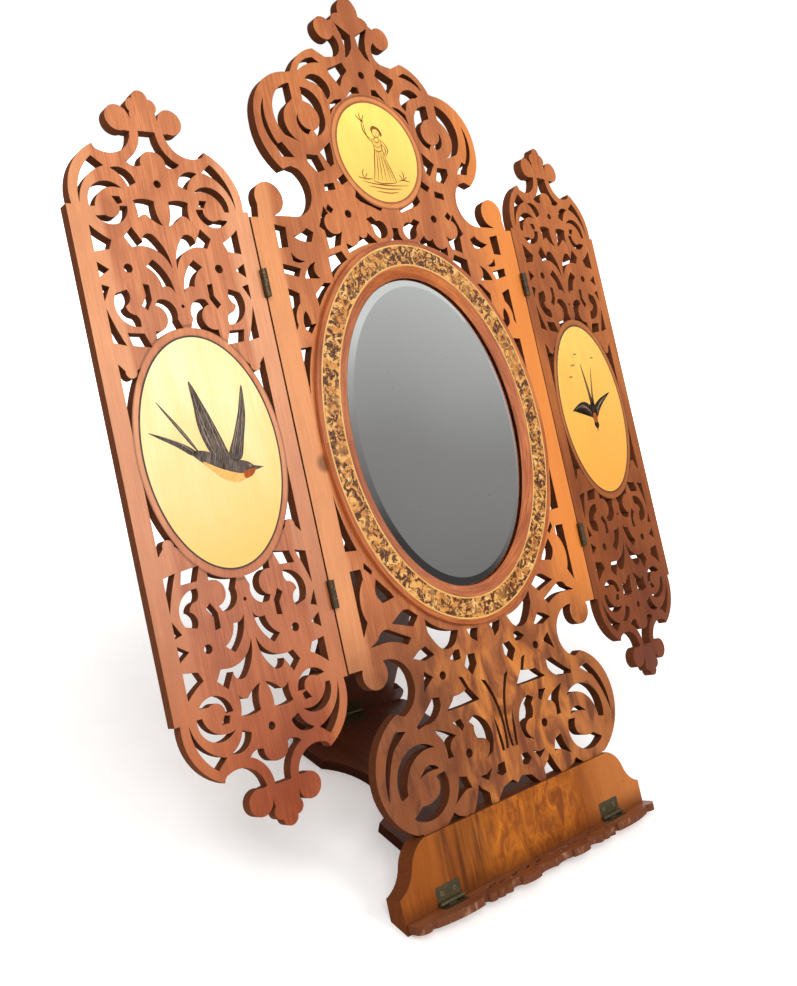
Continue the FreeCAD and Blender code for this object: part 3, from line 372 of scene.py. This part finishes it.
def moulding_wood():
    m = Nodes("moulding_wood")
    ring, local = ring_vector(m)
    fibre, figure, pores, blotch = grain_fields(m, m.mapped(rotation=(0, 0, 90), source=ring))
    tone = m.math("ADD", m.math("MULTIPLY", fibre, 0.5), m.math("MULTIPLY", figure, 0.5))
    colour = m.ramp(tone, [(0.34, (0.2, 0.042, 0.011)), (0.5, (0.4, 0.1, 0.026)), (0.66, (0.6, 0.19, 0.05))])
    colour = m.mix(m.ramp(pores, [(0.28, 0.6), (0.42, 0.0)]), colour, (0.17, 0.04, 0.014))
    m.set(Base_Color=colour)
    m.set(Roughness=m.ramp(blotch, [(0.3, 0.2), (0.7, 0.32)]))
    m.shader.inputs["Specular IOR Level"].default_value = 0.3
    m.shader.inputs["Coat Weight"].default_value = 0.35
    m.shader.inputs["Coat Roughness"].default_value = 0.12
    m.bump(fibre, 0.0001, 0.4, 0.0006)
    return m.material


def mosaic():
    # Small chips of yellow and orange wood broken up by dark wriggling marks.
    m = Nodes("mosaic_chips")
    ring, local = ring_vector(m)
    chips = m.cells(m.mapped(scale=(1, 1.3, 0), source=local), 220)
    chip_colour = m.ramp(chips.outputs["Color"], [(0.0, (0.44, 0.15, 0.03)), (0.4, (0.6, 0.25, 0.055)),
                                                 (0.7, (0.74, 0.38, 0.1)), (1.0, (0.86, 0.54, 0.2))])
    wriggle = m.noise(m.mapped(scale=(1, 1, 0), source=local), 185, 4, 0.66, 1.4)
    marks = m.ramp(wriggle, [(0.465, 0.0), (0.53, 1.0)])
    patch = m.noise(m.mapped(scale=(1, 0.7, 0), source=ring), 50, 2, 0.5, 0.6)
    marks = m.math("MULTIPLY", marks, m.ramp(patch, [(0.3, 0.55), (0.46, 1.0)]))
    speck = m.noise(m.mapped(scale=(1, 1, 0), source=local), 900, 2, 0.5)
    colour = m.mix(m.ramp(speck, [(0.3, 0.45), (0.5, 0.0)]), chip_colour, (0.36, 0.12, 0.03))
    mark_colour = m.mix(m.ramp(speck, [(0.4, 0.0), (0.6, 1.0)]), (0.05, 0.015, 0.006), (0.13, 0.04, 0.011))
    colour = m.mix(marks, colour, mark_colour)
    m.set(Base_Color=colour)
    m.set(Roughness=m.ramp(speck, [(0.3, 0.24), (0.7, 0.36)]))
    m.shader.inputs["Specular IOR Level"].default_value = 0.3
    m.shader.inputs["Coat Weight"].default_value = 0.15
    m.shader.inputs["Coat Roughness"].default_value = 0.2
    m.bump(m.math("SUBTRACT", speck, m.math("MULTIPLY", marks, 0.5)), 0.00008, 0.5)
    return m.material


def line_wood(name, dark, pale, gloss):
    m = Nodes(name)
    ring, local = ring_vector(m)
    fibre = m.noise(m.mapped(scale=(0.05, 1, 1), source=ring), 1500, 3, 0.6)
    patch = m.noise(local, 60, 3, 0.6)
    colour = m.mix(m.ramp(fibre, [(0.3, 0.0), (0.7, 1.0)]), dark, pale)
    colour = m.mix(m.ramp(patch, [(0.45, 0.0), (0.75, 0.5)]), colour, dark)
    m.set(Base_Color=colour)
    m.set(Roughness=m.ramp(patch, [(0.3, gloss), (0.7, gloss + 0.12)]))
    m.shader.inputs["Coat Weight"].default_value = 0.3
    m.bump(fibre, 0.00006, 0.4)
    return m.material


def pale_panel(name, low, high, warm, fade):
    # Pale veneer with faint upright grain and a warmer lower part; fade gives the two heights.
    m = Nodes(name)
    vector = m.mapped(rotation=(LEAN - 90, 0, 0))
    fibre, figure, pores, blotch = grain_fields(m, vector)
    tone = m.math("ADD", m.math("MULTIPLY", fibre, 0.45), m.math("MULTIPLY", figure, 0.55))
    colour = m.ramp(tone, [(0.3, low), (0.62, high)])
    colour = m.mix(m.ramp(blotch, [(0.4, 0.0), (0.75, 0.6)]), colour, warm)
    split = m.new("SeparateXYZ")
    m.link(vector, split.inputs[0])
    lower = m.new("MapRange")
    m.link(split.outputs[1], lower.inputs["Value"])
    lower.inputs["From Min"].default_value = fade[0] + FOOT_DROP
    lower.inputs["From Max"].default_value = fade[1] + FOOT_DROP
    lower.inputs["To Min"].default_value = 0.95
    lower.inputs["To Max"].default_value = 0.0
    colour = m.mix(lower.outputs[0], colour, warm)
    colour = m.mix(m.ramp(pores, [(0.28, 0.35), (0.4, 0.0)]), colour, warm)
    m.set(Base_Color=colour)
    m.set(Roughness=m.ramp(blotch, [(0.3, 0.26), (0.7, 0.38)]))
    m.shader.inputs["Coat Weight"].default_value = 0.4
    m.shader.inputs["Coat Roughness"].default_value = 0.16
    m.bump(fibre, 0.00005, 0.4)
    return m.material


def looking_glass():
    m = Nodes("looking_glass")
    spots = m.noise(m.mapped(), 900, 2, 0.5)
    haze = m.noise(m.mapped(scale=(1, 1, 0.4)), 14, 4, 0.6, 0.8)
    colour = m.mix(m.ramp(spots, [(0.72, 0.0), (0.78, 1.0)]), (0.82, 0.84, 0.83), (0.16, 0.14, 0.12))
    m.set(Base_Color=colour, Metallic=1.0)
    m.set(Roughness=m.ramp(haze, [(0.4, 0.015), (0.75, 0.07)]))
    return m.material


def old_metal(name, base, shine, crust):
    m = Nodes(name)
    tarnish = m.noise(m.mapped(), 260, 5, 0.65, 0.5)
    scratch = m.noise(m.mapped(scale=(1, 0.06, 1)), 2600, 2, 0.5)
    pits = m.noise(m.mapped(), 1500, 3, 0.6)
    colour = m.ramp(tarnish, [(0.34, crust), (0.5, base), (0.72, shine)])
    m.set(Base_Color=colour)
    m.set(Metallic=m.ramp(tarnish, [(0.36, 0.35), (0.55, 0.95)]))
    m.set(Roughness=m.ramp(pits, [(0.3, 0.34), (0.7, 0.58)]))
    m.bump(m.math("ADD", pits, m.math("MULTIPLY", scratch, 0.4)), 0.00008, 0.6, 0.0002)
    return m.material


def ink(name, dark, pale, turn=0.0):
    # Penwork and burnt shading: fine hatching between two tones.
    m = Nodes(name)
    vector = m.mapped(rotation=(LEAN - 90, 0, turn))
    hatch = m.noise(m.mapped(scale=(1, 0.08, 1), source=vector), 1500, 3, 0.6)
    cloud = m.noise(vector, 240, 3, 0.6)
    colour = m.mix(m.ramp(hatch, [(0.36, 0.0), (0.66, 1.0)]), dark, pale)
    colour = m.mix(m.ramp(cloud, [(0.4, 0.0), (0.7, 0.5)]), colour, dark)
    m.set(Base_Color=colour)
    m.set(Roughness=m.ramp(cloud, [(0.3, 0.5), (0.7, 0.65)]))
    m.shader.inputs["Specular IOR Level"].default_value = 0.12
    m.bump(hatch, 0.00003, 0.3)
    return m.material


OVAL_FADE = (-0.09, 0.02)
ROUNDEL_FADE = (0.12, 0.18)
band = mosaic()
moulding = moulding_wood()
pale_line = line_wood("pale_line", (0.55, 0.26, 0.06), (0.83, 0.52, 0.16), 0.24)
dark_line = line_wood("dark_line", (0.02, 0.008, 0.004), (0.08, 0.03, 0.015), 0.4)
crest_edge = line_wood("crest_edge", (0.22, 0.05, 0.01), (0.42, 0.13, 0.025), 0.28)
left_panel = pale_panel("left_panel", (0.85, 0.66, 0.24), (0.9, 0.8, 0.42), (0.87, 0.44, 0.045), OVAL_FADE)
right_panel = pale_panel("right_panel", (0.84, 0.47, 0.06), (0.9, 0.58, 0.1), (0.84, 0.36, 0.035), OVAL_FADE)
roundel_panel = pale_panel("roundel_panel", (0.86, 0.64, 0.09), (0.9, 0.76, 0.15), (0.86, 0.46, 0.08),
                           ROUNDEL_FADE)
glass = looking_glass()
bronze = old_metal("ledge_bronze", (0.115, 0.09, 0.045), (0.25, 0.19, 0.09), (0.045, 0.048, 0.03))
brass = old_metal("wing_brass", (0.07, 0.05, 0.028), (0.2, 0.13, 0.055), (0.03, 0.02, 0.012))
brass_head = old_metal("screw_brass", (0.26, 0.2, 0.1), (0.42, 0.34, 0.18), (0.12, 0.09, 0.05))
steel = old_metal("pin_steel", (0.2, 0.18, 0.16), (0.42, 0.38, 0.33), (0.07, 0.055, 0.045))


def dress(material, *names):
    for name in names:
        data = nodes[name].data
        data.materials.clear()
        data.materials.append(material)


SIDES = ("left", "right")
LEVELS = ("upper", "lower")
dress(centre_wood, "centre_board", "prop_cleat")
dress(left_wood, "wing_board_left")
dress(right_wood, "wing_board_right")
dress(plinth_wood, "plinth")
dress(ledge_wood, "ledge_board")
dress(foot_wood, "foot_board")
dress(prop_wood, "prop_board")
dress(back_wood, "mirror_back")
dress(moulding, "mirror_frame")
dress(band, "mosaic_band")
dress(pale_line, "outer_line", "inner_line")
dress(crest_edge, "crest_line")
dress(dark_line, "wing_line_left", "wing_line_right")
dress(left_panel, "wing_oval_left")
dress(right_panel, "wing_oval_right")
dress(roundel_panel, "crest_roundel")
dress(glass, "mirror_glass")
for side in SIDES:
    dress(bronze, "ledge_leaf_" + side, "plinth_leaf_" + side, "back_leaf_" + side, "foot_leaf_" + side)
    dress(steel, "ledge_pin_" + side, "foot_pin_" + side)
    dress(brass_head, "plinth_screw_" + side + "_1", "plinth_screw_" + side + "_2")
    for level in LEVELS:
        dress(brass, "fixed_leaf_%s_%s" % (side, level), "wing_leaf_%s_%s" % (side, level))
        dress(steel, "wing_pin_%s_%s" % (side, level))
dress(bronze, "foot_rear_leaf", "prop_leaf")
dress(steel, "prop_pin")

# Pictures on the inlays, drawn in millimetres about the middle of each inlay

def smooth(points, closed=False):
    # A soft curve through the points.
    steps = 6
    if closed:
        ends = [points[-1]] + list(points) + list(points[:2])
    else:
        ends = [points[0]] + list(points) + [points[-1]]
    curve = []
    for a, b, c, d in zip(ends, ends[1:], ends[2:], ends[3:]):
        for i in range(steps):
            t = i / steps
            curve.append(tuple(0.5 * (2 * q + (r - p) * t + (2 * p - 5 * q + 4 * r - s) * t ** 2
                                      + (3 * q - p - 3 * r + s) * t ** 3) for p, q, r, s in zip(a, b, c, d)))
    return curve if closed else curve + [tuple(points[-1])]


def filled(*points):
    return [smooth(points, True)]


def spot(x, y, r):
    return [[(x + r * math.cos(i * math.pi / 8), y + r * math.sin(i * math.pi / 8)) for i in range(16)]]


def stroke(width, *points):
    # A pen line that thins towards both ends.
    curve = smooth(points)
    last = len(curve) - 1
    left, right = [], []
    for i, (x, y) in enumerate(curve):
        before = curve[max(i - 1, 0)]
        after = curve[min(i + 1, last)]
        dx, dy = after[0] - before[0], after[1] - before[1]
        long = math.hypot(dx, dy)
        w = width * (0.25 + 0.75 * math.sin(math.pi * i / last)) / 2
        left.append((x - dy / long * w, y + dx / long * w))
        right.append((x + dy / long * w, y - dx / long * w))
    return [[left[i], right[i], right[i + 1], left[i + 1]] for i in range(last)]


def picture(name, body, place, layers):
    # Each layer is a material and its shapes, laid a hair above the one before.
    mesh = bpy.data.meshes.new(name)
    build = bmesh.new()
    for level, (material, shapes) in enumerate(layers):
        mesh.materials.append(material)
        for shape in shapes:
            turn = sum(a[0] * b[1] - b[0] * a[1] for a, b in zip(shape, shape[1:] + shape[:1]))
            corners = shape if turn > 0 else shape[::-1]
            places = [place(x / 1000, y / 1000, INK * (level + 1)) for x, y in corners]
            build.faces.new([build.verts.new(at) for at in places]).material_index = level
    bmesh.ops.triangulate(build, faces=build.faces[:])
    build.to_mesh(mesh)
    build.free()
    piece = bpy.data.objects.new(name, mesh)
    scene.collection.objects.link(piece)
    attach(piece, body)


def on_left_wing(x, y, n):
    return on_wing(x - WING_OVAL_U, y + WING_OVAL_V, n, -HINGE_U, LEFT_WING_BACK)


def on_right_wing(x, y, n):
    return on_wing(x + WING_OVAL_U, y + WING_OVAL_V, n, HINGE_U, RIGHT_WING_BACK)


def on_wing(u, v, n, hinge, angle):
    turn = math.radians(angle)
    out = n - HINGE_N
    across = u - hinge
    return on_panel(hinge + across * math.cos(turn) + out * math.sin(turn), v,
                    HINGE_N - across * math.sin(turn) + out * math.cos(turn))


def on_roundel(x, y, n):
    return on_panel(x, y + ROUNDEL_V, n)


slate = ink("slate_ink", (0.035, 0.025, 0.022), (0.2, 0.15, 0.12), 20)
soot = ink("soot_ink", (0.014, 0.008, 0.005), (0.05, 0.026, 0.014), 20)
quill = ink("quill_ink", (0.2, 0.15, 0.12), (0.4, 0.29, 0.2))
rufous = ink("rufous_ink", (0.3, 0.055, 0.012), (0.5, 0.13, 0.025))
breast = ink("breast_ink", (0.74, 0.36, 0.09), (0.85, 0.52, 0.17), 60)
sepia = ink("sepia_ink", (0.2, 0.055, 0.014), (0.36, 0.12, 0.03))
wash = ink("wash_ink", (0.72, 0.42, 0.08), (0.84, 0.6, 0.14), 15)

bird_dark = (filled((9, -4), (15, 8), (21, 21), (27, 37), (26, 21), (22, 7), (17, -6))
             + filled((-12, 2), (-22, 8), (-38, 14), (-23, 5), (-14, -1))
             + filled((-12, 3), (-19, 13), (-30, 31), (-17, 14), (-10, 2))
             + filled((-15, 1), (-6, 1), (4, -3), (14, -6), (21, -8), (25, -12), (22, -15.6), (13, -18),
                      (3, -15), (-7, -7)))
bird_wing = filled((0, -4), (-5, 6), (-7, 16), (-7, 27), (-7, 41), (-1, 28), (4, 15), (8, 3), (10, -7))
bird_pale = filled((-8, -5), (2, -10), (12, -13.6), (19, -15), (13, -18.8), (3, -16), (-5, -9))
bird_red = filled((17, -13.4), (22, -12.4), (25, -12.6), (22, -16.2), (17, -17.2))
bird_lines = []
for line in (((-6, 36), (-4, 20), (1, 0)), ((-6, 25), (-4, 12), (0, -2)), ((-3, 30), (1, 15), (5, -2)),
             ((-5, 15), (-3, 6), (1, -3)), ((2, 18), (5, 8), (8, -4)), ((26, 33), (20, 15), (13, -2)),
             ((25, 24), (21, 11), (16, -3)), ((21, 18), (16, 8), (11, -3)), ((-32, 12), (-21, 7), (-13, 1)),
             ((-26, 25), (-17, 12), (-11, 3))):
    bird_lines += stroke(0.55, *line)
bird_lines += spot(21.4, -10.4, 0.8)
bird_beak = [[(24.2, -10.4), (31.0, -12.0), (24.4, -13.6)]]
picture("swallow_left", "left_wing", on_left_wing,
        [(slate, bird_dark + bird_beak), (slate, bird_wing), (breast, bird_pale), (rufous, bird_red),
         (quill, bird_lines)])

diver = (filled((-3, 4), (3, 4), (3.6, -3), (2.6, -10), (0, -13), (-2.6, -10), (-3.6, -3))
         + filled((-2, 1), (-9, 5.5), (-18, 5), (-30, -1), (-18, 0.5), (-9, -2.5), (-3, -7))
         + filled((2, 1), (9, 6), (17, 9), (29, 12), (17, 4.5), (9, -1.5), (3, -7))
         + filled((-2, 3), (-3, 17), (-4.5, 36), (-0.4, 17), (1, 4))
         + filled((0, 4), (3.6, 16), (9.5, 34), (5, 15), (2.6, 3))
         + spot(0, -12.6, 3.2) + [[(-1, -15.2), (1, -15.2), (0, -18.4)]])
far_birds = []
for x, y, size in ((-16, 34, 1.0), (-22, 25, 0.8), (-9, 43, 0.7), (14, 40, 0.7)):
    far_birds += stroke(0.7, (x - 3 * size, y), (x - 1.4 * size, y + 1.3 * size), (x, y))
    far_birds += stroke(0.7, (x, y), (x + 1.5 * size, y + 1.4 * size), (x + 3.2 * size, y + 0.3))
diver_lines = []
for line in (((-25, 0.6), (-14, 3), (-4, -2)), ((-18, 2), (-10, 1), (-4, -4)), ((24, 9.4), (13, 5), (4, -1)),
             ((16, 6), (9, 2), (4, -4)), ((-3.4, 28), (-2, 14), (-1, 5)), ((7.4, 27), (4, 14), (2, 5))):
    diver_lines += stroke(0.5, *line)
picture("swallow_right", "right_wing", on_right_wing,
        [(soot, diver + far_birds), (rufous, filled((-2, -4), (2, -4), (2.4, -9), (0, -11.4), (-2.4, -9))),
         (quill, diver_lines)])

robe = filled((-3.8, 9), (0.4, 8), (4.8, 9), (4.2, 3), (5.6, -4), (8.6, -13), (11.4, -20.6), (1, -22),
              (-9.4, -20.8), (-6.4, -12), (-4.6, -4), (-2.9, 2))
hair = filled((-2.2, 13.4), (-2.6, 16.6), (-0.2, 18.6), (3.2, 18.2), (5.6, 16.2), (6.8, 13.2), (5.2, 11.6),
              (4.4, 14.6), (2.2, 16.4), (-0.6, 16))
figure_lines = []
for width, *line in (
        (0.8, (-3.8, 9), (-2.9, 2), (-4.6, -4), (-6.4, -12), (-9.4, -20.8)),
        (0.8, (4.8, 9), (4.2, 3), (5.6, -4)),
        (0.8, (5.6, -4), (8.6, -13), (11.4, -20.6)),
        (0.8, (-9.4, -20.8), (-3, -22), (4, -21.6), (11.4, -20.6)),
        (0.6, (-1.4, 1), (-3, -9), (-5.4, -20)), (0.5, (0, 1), (-0.6, -10), (-1.8, -20.4)),
        (0.6, (1.6, 1), (2, -9), (2.2, -20.6)), (0.5, (2.8, 0), (4.6, -10), (6, -20)),
        (0.5, (3.8, -2), (6.4, -12), (8.8, -19.6)), (0.5, (-2.6, 5), (0.4, 3.6), (4, 5.4)),
        (0.7, (-2.9, 1.6), (0.6, 0.6), (4.3, 1.8)), (0.6, (-2, 8.4), (0.6, 6.8), (3.2, 8.6)),
        (0.8, (-3.8, 9), (-7.6, 11.4), (-9.8, 15.6), (-9.6, 21)),
        (0.7, (-3.2, 6.8), (-6.4, 9.4), (-8, 14.6), (-8.2, 20.6)),
        (0.8, (4.8, 9), (8, 5.6), (9, 1.4), (5.8, -2.4)), (0.7, (4.4, 6.4), (6.6, 4), (7, 1), (4.8, -1.2)),
        (0.6, (-1.9, 14.6), (-1.4, 11.9), (0.8, 10.6), (3.2, 11.5), (4.4, 14)),
        (0.6, (-0.4, 11), (-0.6, 9.6), (-3.8, 9)),
        (0.6, (2.4, 10.8), (2.6, 9.6), (4.8, 9)), (0.4, (-0.9, 14.2), (-0.4, 14.5), (0.2, 14.2)),
        (0.4, (1.7, 14.2), (2.3, 14.5), (2.9, 14.1)), (0.35, (0.9, 13.9), (1.1, 13), (0.7, 12.8)),
        (0.4, (0.1, 12), (0.9, 11.7), (1.8, 12)), (0.7, (-9, 21), (-10.4, 24.4), (-9.4, 27)),
        (0.7, (-9, 21), (-7.4, 24), (-6.8, 26)), (0.7, (-9, 21), (-12, 23), (-13.4, 25.4)),
        (0.8, (-20, -21), (-10, -22.6), (6, -23), (22, -22)), (0.8, (-15, -24.4), (0, -25.6), (15, -24.8)),
        (0.8, (-23, -18.6), (-16, -19.6), (-10, -19.2)), (0.8, (13, -19.4), (18, -18.4), (24, -19.2)),
        (0.7, (-9, -27.6), (2, -28.4), (11, -27.4)), (0.7, (-17, -19.8), (-18.6, -16), (-16.8, -13)),
        (0.6, (-17, -19.8), (-15.6, -17), (-14, -15.8)), (0.7, (17.4, -18.8), (19, -15), (17.8, -11.8)),
        (0.6, (17.4, -18.8), (16, -16), (14.8, -14.6)), (0.6, (17.4, -18.8), (20, -16.8), (21.8, -16))):
    figure_lines += stroke(width, *line)
picture("roundel_figure", "mirror", on_roundel,
        [(wash, robe), (sepia, hair + spot(-9, 21.2, 1.0) + figure_lines)])

# Screw slots on the ledge's hinges, and small nails and screws on the back

SLOT_LONG = 0.0026
SLOT_WIDE = 0.00045
SLOT_HIGH = 0.00012
SLOT_LIFT = 0.00004
SCREW_R = 0.0016
SCREW_HIGH = 0.00035
NAIL_R = 0.0011
NAIL_HIGH = 0.0003
HEAD_SIDES = 14
LEDGE_SCREWS_U = (-0.0855, -0.0745, 0.0745, 0.0855)
LEDGE_SCREWS_V = -0.3135
PLINTH_FRONT_N = 0.002
FOOT_SCREWS_U = (-0.05, -0.034, 0.034, 0.05)
BACK_SCREWS_V = -0.302
PANEL_BACK_N = -0.011
NAILS = 12
NAILS_A = 0.093
NAILS_B = 0.122
FOOT_TOP = 0.007
FOOT_FRONT_SCREWS_Y = 0.0255
PROP_SCREWS_U = (-0.008, 0.008)
PROP_SCREWS_Y = 0.1885


def small_block(build, middle, along, side, out, sizes, index=0):
    corners = []
    for i in (-0.5, 0.5):
        for j in (-0.5, 0.5):
            for k in (-0.5, 0.5):
                place = middle + along * i * sizes[0] + side * j * sizes[1] + out * k * sizes[2]
                corners.append(build.verts.new(place))
    for loop in ((0, 1, 3, 2), (4, 6, 7, 5), (0, 4, 5, 1), (2, 3, 7, 6), (0, 2, 6, 4), (1, 5, 7, 3)):
        build.faces.new([corners[i] for i in loop]).material_index = index


def small_head(build, middle, along, side, out, radius, high):
    # A low domed head: three rings and a cap.
    rings = []
    for reach, rise in ((1.0, 0.0), (0.92, 0.6), (0.6, 0.95)):
        ring = []
        for i in range(HEAD_SIDES):
            turn = 2 * math.pi * i / HEAD_SIDES
            outward = along * math.cos(turn) + side * math.sin(turn)
            ring.append(build.verts.new(middle + outward * radius * reach + out * high * rise))
        rings.append(ring)
    for low, top in zip(rings, rings[1:]):
        for i in range(HEAD_SIDES):
            after = (i + 1) % HEAD_SIDES
            build.faces.new([low[i], low[after], top[after], top[i]])
    build.faces.new(rings[-1])
    build.faces.new(rings[0][::-1])


def fittings(name, body, materials, items):
    # Each item is a head radius (none for a slot alone), its height, its place and its three directions.
    mesh = bpy.data.meshes.new(name)
    for material in materials:
        mesh.materials.append(material)
    build = bmesh.new()
    for radius, high, slotted, middle, along, side, out in items:
        if radius:
            small_head(build, middle, along, side, out, radius, high)
        if slotted:
            sizes = (radius * 1.7 if radius else SLOT_LONG, SLOT_WIDE, SLOT_HIGH)
            small_block(build, middle + out * high, along, side, out, sizes, 1)
    bmesh.ops.recalc_face_normals(build, faces=build.faces[:])
    build.to_mesh(mesh)
    build.free()
    piece = bpy.data.objects.new(name, mesh)
    scene.collection.objects.link(piece)
    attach(piece, body)


def turned(along, out, angle):
    side = out.cross(along)
    swing = math.radians(angle)
    turned_along = along * math.cos(swing) + side * math.sin(swing)
    turned_side = side * math.cos(swing) - along * math.sin(swing)
    return (turned_along, turned_side, out)


X_AXIS = Vector((1, 0, 0))
Z_AXIS = Vector((0, 0, 1))
slots = []
for angle, u in zip((25, -50, 70, 10), LEDGE_SCREWS_U):
    place = on_panel(u, LEDGE_SCREWS_V, PLINTH_FRONT_N)
    slots.append((None, SLOT_LIFT, True, place, *turned(X_AXIS, PANEL_OUT, angle)))
fittings("ledge_screw_slots", "mirror", [bronze, dark_line], slots)

rear = []
for angle, u in zip((15, 60, -35, 80), FOOT_SCREWS_U):
    place = on_panel(u, BACK_SCREWS_V, PANEL_BACK_N)
    rear.append((SCREW_R, SCREW_HIGH, True, place, *turned(X_AXIS, -PANEL_OUT, angle)))
for i in range(NAILS):
    turn = 2 * math.pi * (i + 0.5) / NAILS
    place = on_panel(NAILS_A * math.cos(turn), OVAL_V + NAILS_B * math.sin(turn), PANEL_BACK_N)
    rear.append((NAIL_R, NAIL_HIGH, False, place, *turned(X_AXIS, -PANEL_OUT, 0)))
fittings("back_screws", "mirror", [bronze, dark_line], rear)

treads = []
for angle, x in zip((40, -20, 65, 5), FOOT_SCREWS_U):
    place = Vector((x, FOOT_FRONT_SCREWS_Y, FOOT_TOP))
    treads.append((SCREW_R, SCREW_HIGH, True, place, *turned(X_AXIS, Z_AXIS, angle)))
for angle, x in zip((-60, 30), PROP_SCREWS_U):
    place = Vector((x, PROP_SCREWS_Y, FOOT_TOP))
    treads.append((SCREW_R, SCREW_HIGH, True, place, *turned(X_AXIS, Z_AXIS, angle)))
fittings("foot_screws", "foot", [bronze, dark_line], treads)

# Floor, light and camera

def floor_material():
    m = Nodes("floor")
    speckle = m.noise(m.mapped(), 40, 4, 0.6)
    m.set(Base_Color=m.ramp(speckle, [(0.3, (0.82, 0.81, 0.79)), (0.7, (0.87, 0.86, 0.84))]))
    m.shader.inputs["Roughness"].default_value = 0.7
    m.shader.inputs["Specular IOR Level"].default_value = 0.2
    path = m.new("LightPath")
    seen = m.math("ADD", path.outputs["Is Camera Ray"], path.outputs["Is Glossy Ray"])
    seen = m.math("ADD", seen, path.outputs["Is Transmission Ray"], clamp=True)
    reach = m.new("VectorMath", operation="LENGTH")
    m.link(m.mapped(location=(0, -0.1, 0)), reach.inputs[0])
    far = m.new("MapRange", interpolation_type="SMOOTHSTEP")
    m.link(reach.outputs["Value"], far.inputs["Value"])
    far.inputs["From Min"].default_value = 0.15
    far.inputs["From Max"].default_value = 0.8
    far.inputs["To Min"].default_value = 0.24
    far.inputs["To Max"].default_value = 1.2
    glow = m.new("Emission")
    m.link(m.math("MULTIPLY", seen, far.outputs[0]), glow.inputs["Strength"])
    total = m.new("AddShader")
    m.link(m.shader.outputs[0], total.inputs[0])
    m.link(glow.outputs[0], total.inputs[1])
    m.link(total.outputs[0], m.tree.nodes["Material Output"].inputs["Surface"])
    return m.material


bpy.ops.mesh.primitive_plane_add(size=14)
floor = bpy.context.object
floor.name = "floor"
floor.data.materials.append(floor_material())

world = bpy.data.worlds.new("studio")
scene.world = world
world.use_nodes = True
tree = world.node_tree
background = tree.nodes["Background"]
background.inputs["Color"].default_value = (1, 1, 1, 1)
path = tree.nodes.new("ShaderNodeLightPath")
seen_all = tree.nodes.new("ShaderNodeMath")
seen_all.operation = "ADD"
seen_all.use_clamp = True
tree.links.new(path.outputs["Is Camera Ray"], seen_all.inputs[0])
tree.links.new(path.outputs["Is Transmission Ray"], seen_all.inputs[1])
level = tree.nodes.new("ShaderNodeMapRange")
level.inputs["To Min"].default_value = 0.5
level.inputs["To Max"].default_value = 1.0
tree.links.new(seen_all.outputs[0], level.inputs["Value"])
tree.links.new(level.outputs[0], background.inputs["Strength"])


def soft_lamp(name, place, aim, width, height, watts):
    data = bpy.data.lights.new(name, "AREA")
    data.shape = "RECTANGLE"
    data.size = width
    data.size_y = height
    data.energy = watts
    lamp = bpy.data.objects.new(name, data)
    scene.collection.objects.link(lamp)
    lamp.location = place
    lamp.rotation_euler = (Vector(aim) - Vector(place)).to_track_quat("-Z", "Y").to_euler()
    return lamp


AIM = (0, 0.12, 0.25)
soft_lamp("key", (-1.2, -1.0, 2.0), AIM, 1.4, 1.0, 30)
soft_lamp("fill", (0.6, -1.3, 1.25), AIM, 0.7, 0.7, 14)
soft_lamp("back", (0.3, 1.9, 1.8), AIM, 1.6, 1.2, 8)


# A soft grey card that only the looking-glass and the polish see, so that the glass reads as a mirror.
def card_material():
    m = Nodes("reflection_card")
    clouds = m.noise(m.mapped(), 1.6, 2, 0.5)
    split = m.new("SeparateXYZ")
    m.link(m.coords.outputs["Object"], split.inputs[0])
    sideways = m.math("MULTIPLY", split.outputs[0], -0.55)
    slope = m.math("ADD", sideways, m.math("MULTIPLY", split.outputs[1], 0.75))
    tone = m.math("ADD", m.math("ADD", slope, 0.42), m.math("MULTIPLY", clouds, 0.3))
    glow = m.new("Emission")
    greys = [(0.15, (0.055, 0.05, 0.048)), (0.6, (0.28, 0.27, 0.265)), (1.0, (0.75, 0.75, 0.74))]
    m.link(m.ramp(tone, greys), glow.inputs["Color"])
    m.link(glow.outputs[0], m.tree.nodes["Material Output"].inputs["Surface"])
    return m.material


bpy.ops.mesh.primitive_plane_add(size=1.5)
card = bpy.context.object
card.name = "reflection_card"
card.location = (0.78, -0.58, 0.74)
card.rotation_euler = (Vector((0, 0.146, 0.252)) - card.location).to_track_quat("Z", "Y").to_euler()
card.data.materials.append(card_material())
card.visible_camera = False
card.visible_diffuse = False
card.visible_shadow = False
card.visible_transmission = False

FOCAL_PIXELS = 1082.8
PHOTO_HIGH = 986
SENSOR = 36.0
camera_data = bpy.data.cameras.new("camera")
camera_data.sensor_fit = "VERTICAL"
camera_data.sensor_height = SENSOR
camera_data.lens = FOCAL_PIXELS * SENSOR / PHOTO_HIGH
camera_data.shift_x = 0.00076
camera_data.shift_y = 0.00698
camera_data.clip_start = 0.01
camera = bpy.data.objects.new("camera", camera_data)
scene.collection.objects.link(camera)
CAMERA_PLACE = Vector((-0.50744, -0.33428, 0.44345))
CAMERA_RIGHT = Vector((0.73505, -0.66428, 0.13575))
CAMERA_UP = Vector((0.12828, 0.33285, 0.93422))
camera_back = CAMERA_RIGHT.cross(CAMERA_UP)
camera.matrix_world = Matrix((
    (CAMERA_RIGHT.x, CAMERA_UP.x, camera_back.x, CAMERA_PLACE.x),
    (CAMERA_RIGHT.y, CAMERA_UP.y, camera_back.y, CAMERA_PLACE.y),
    (CAMERA_RIGHT.z, CAMERA_UP.z, camera_back.z, CAMERA_PLACE.z),
    (0, 0, 0, 1),
))
scene.camera = camera

scene.view_settings.view_transform = "Standard"
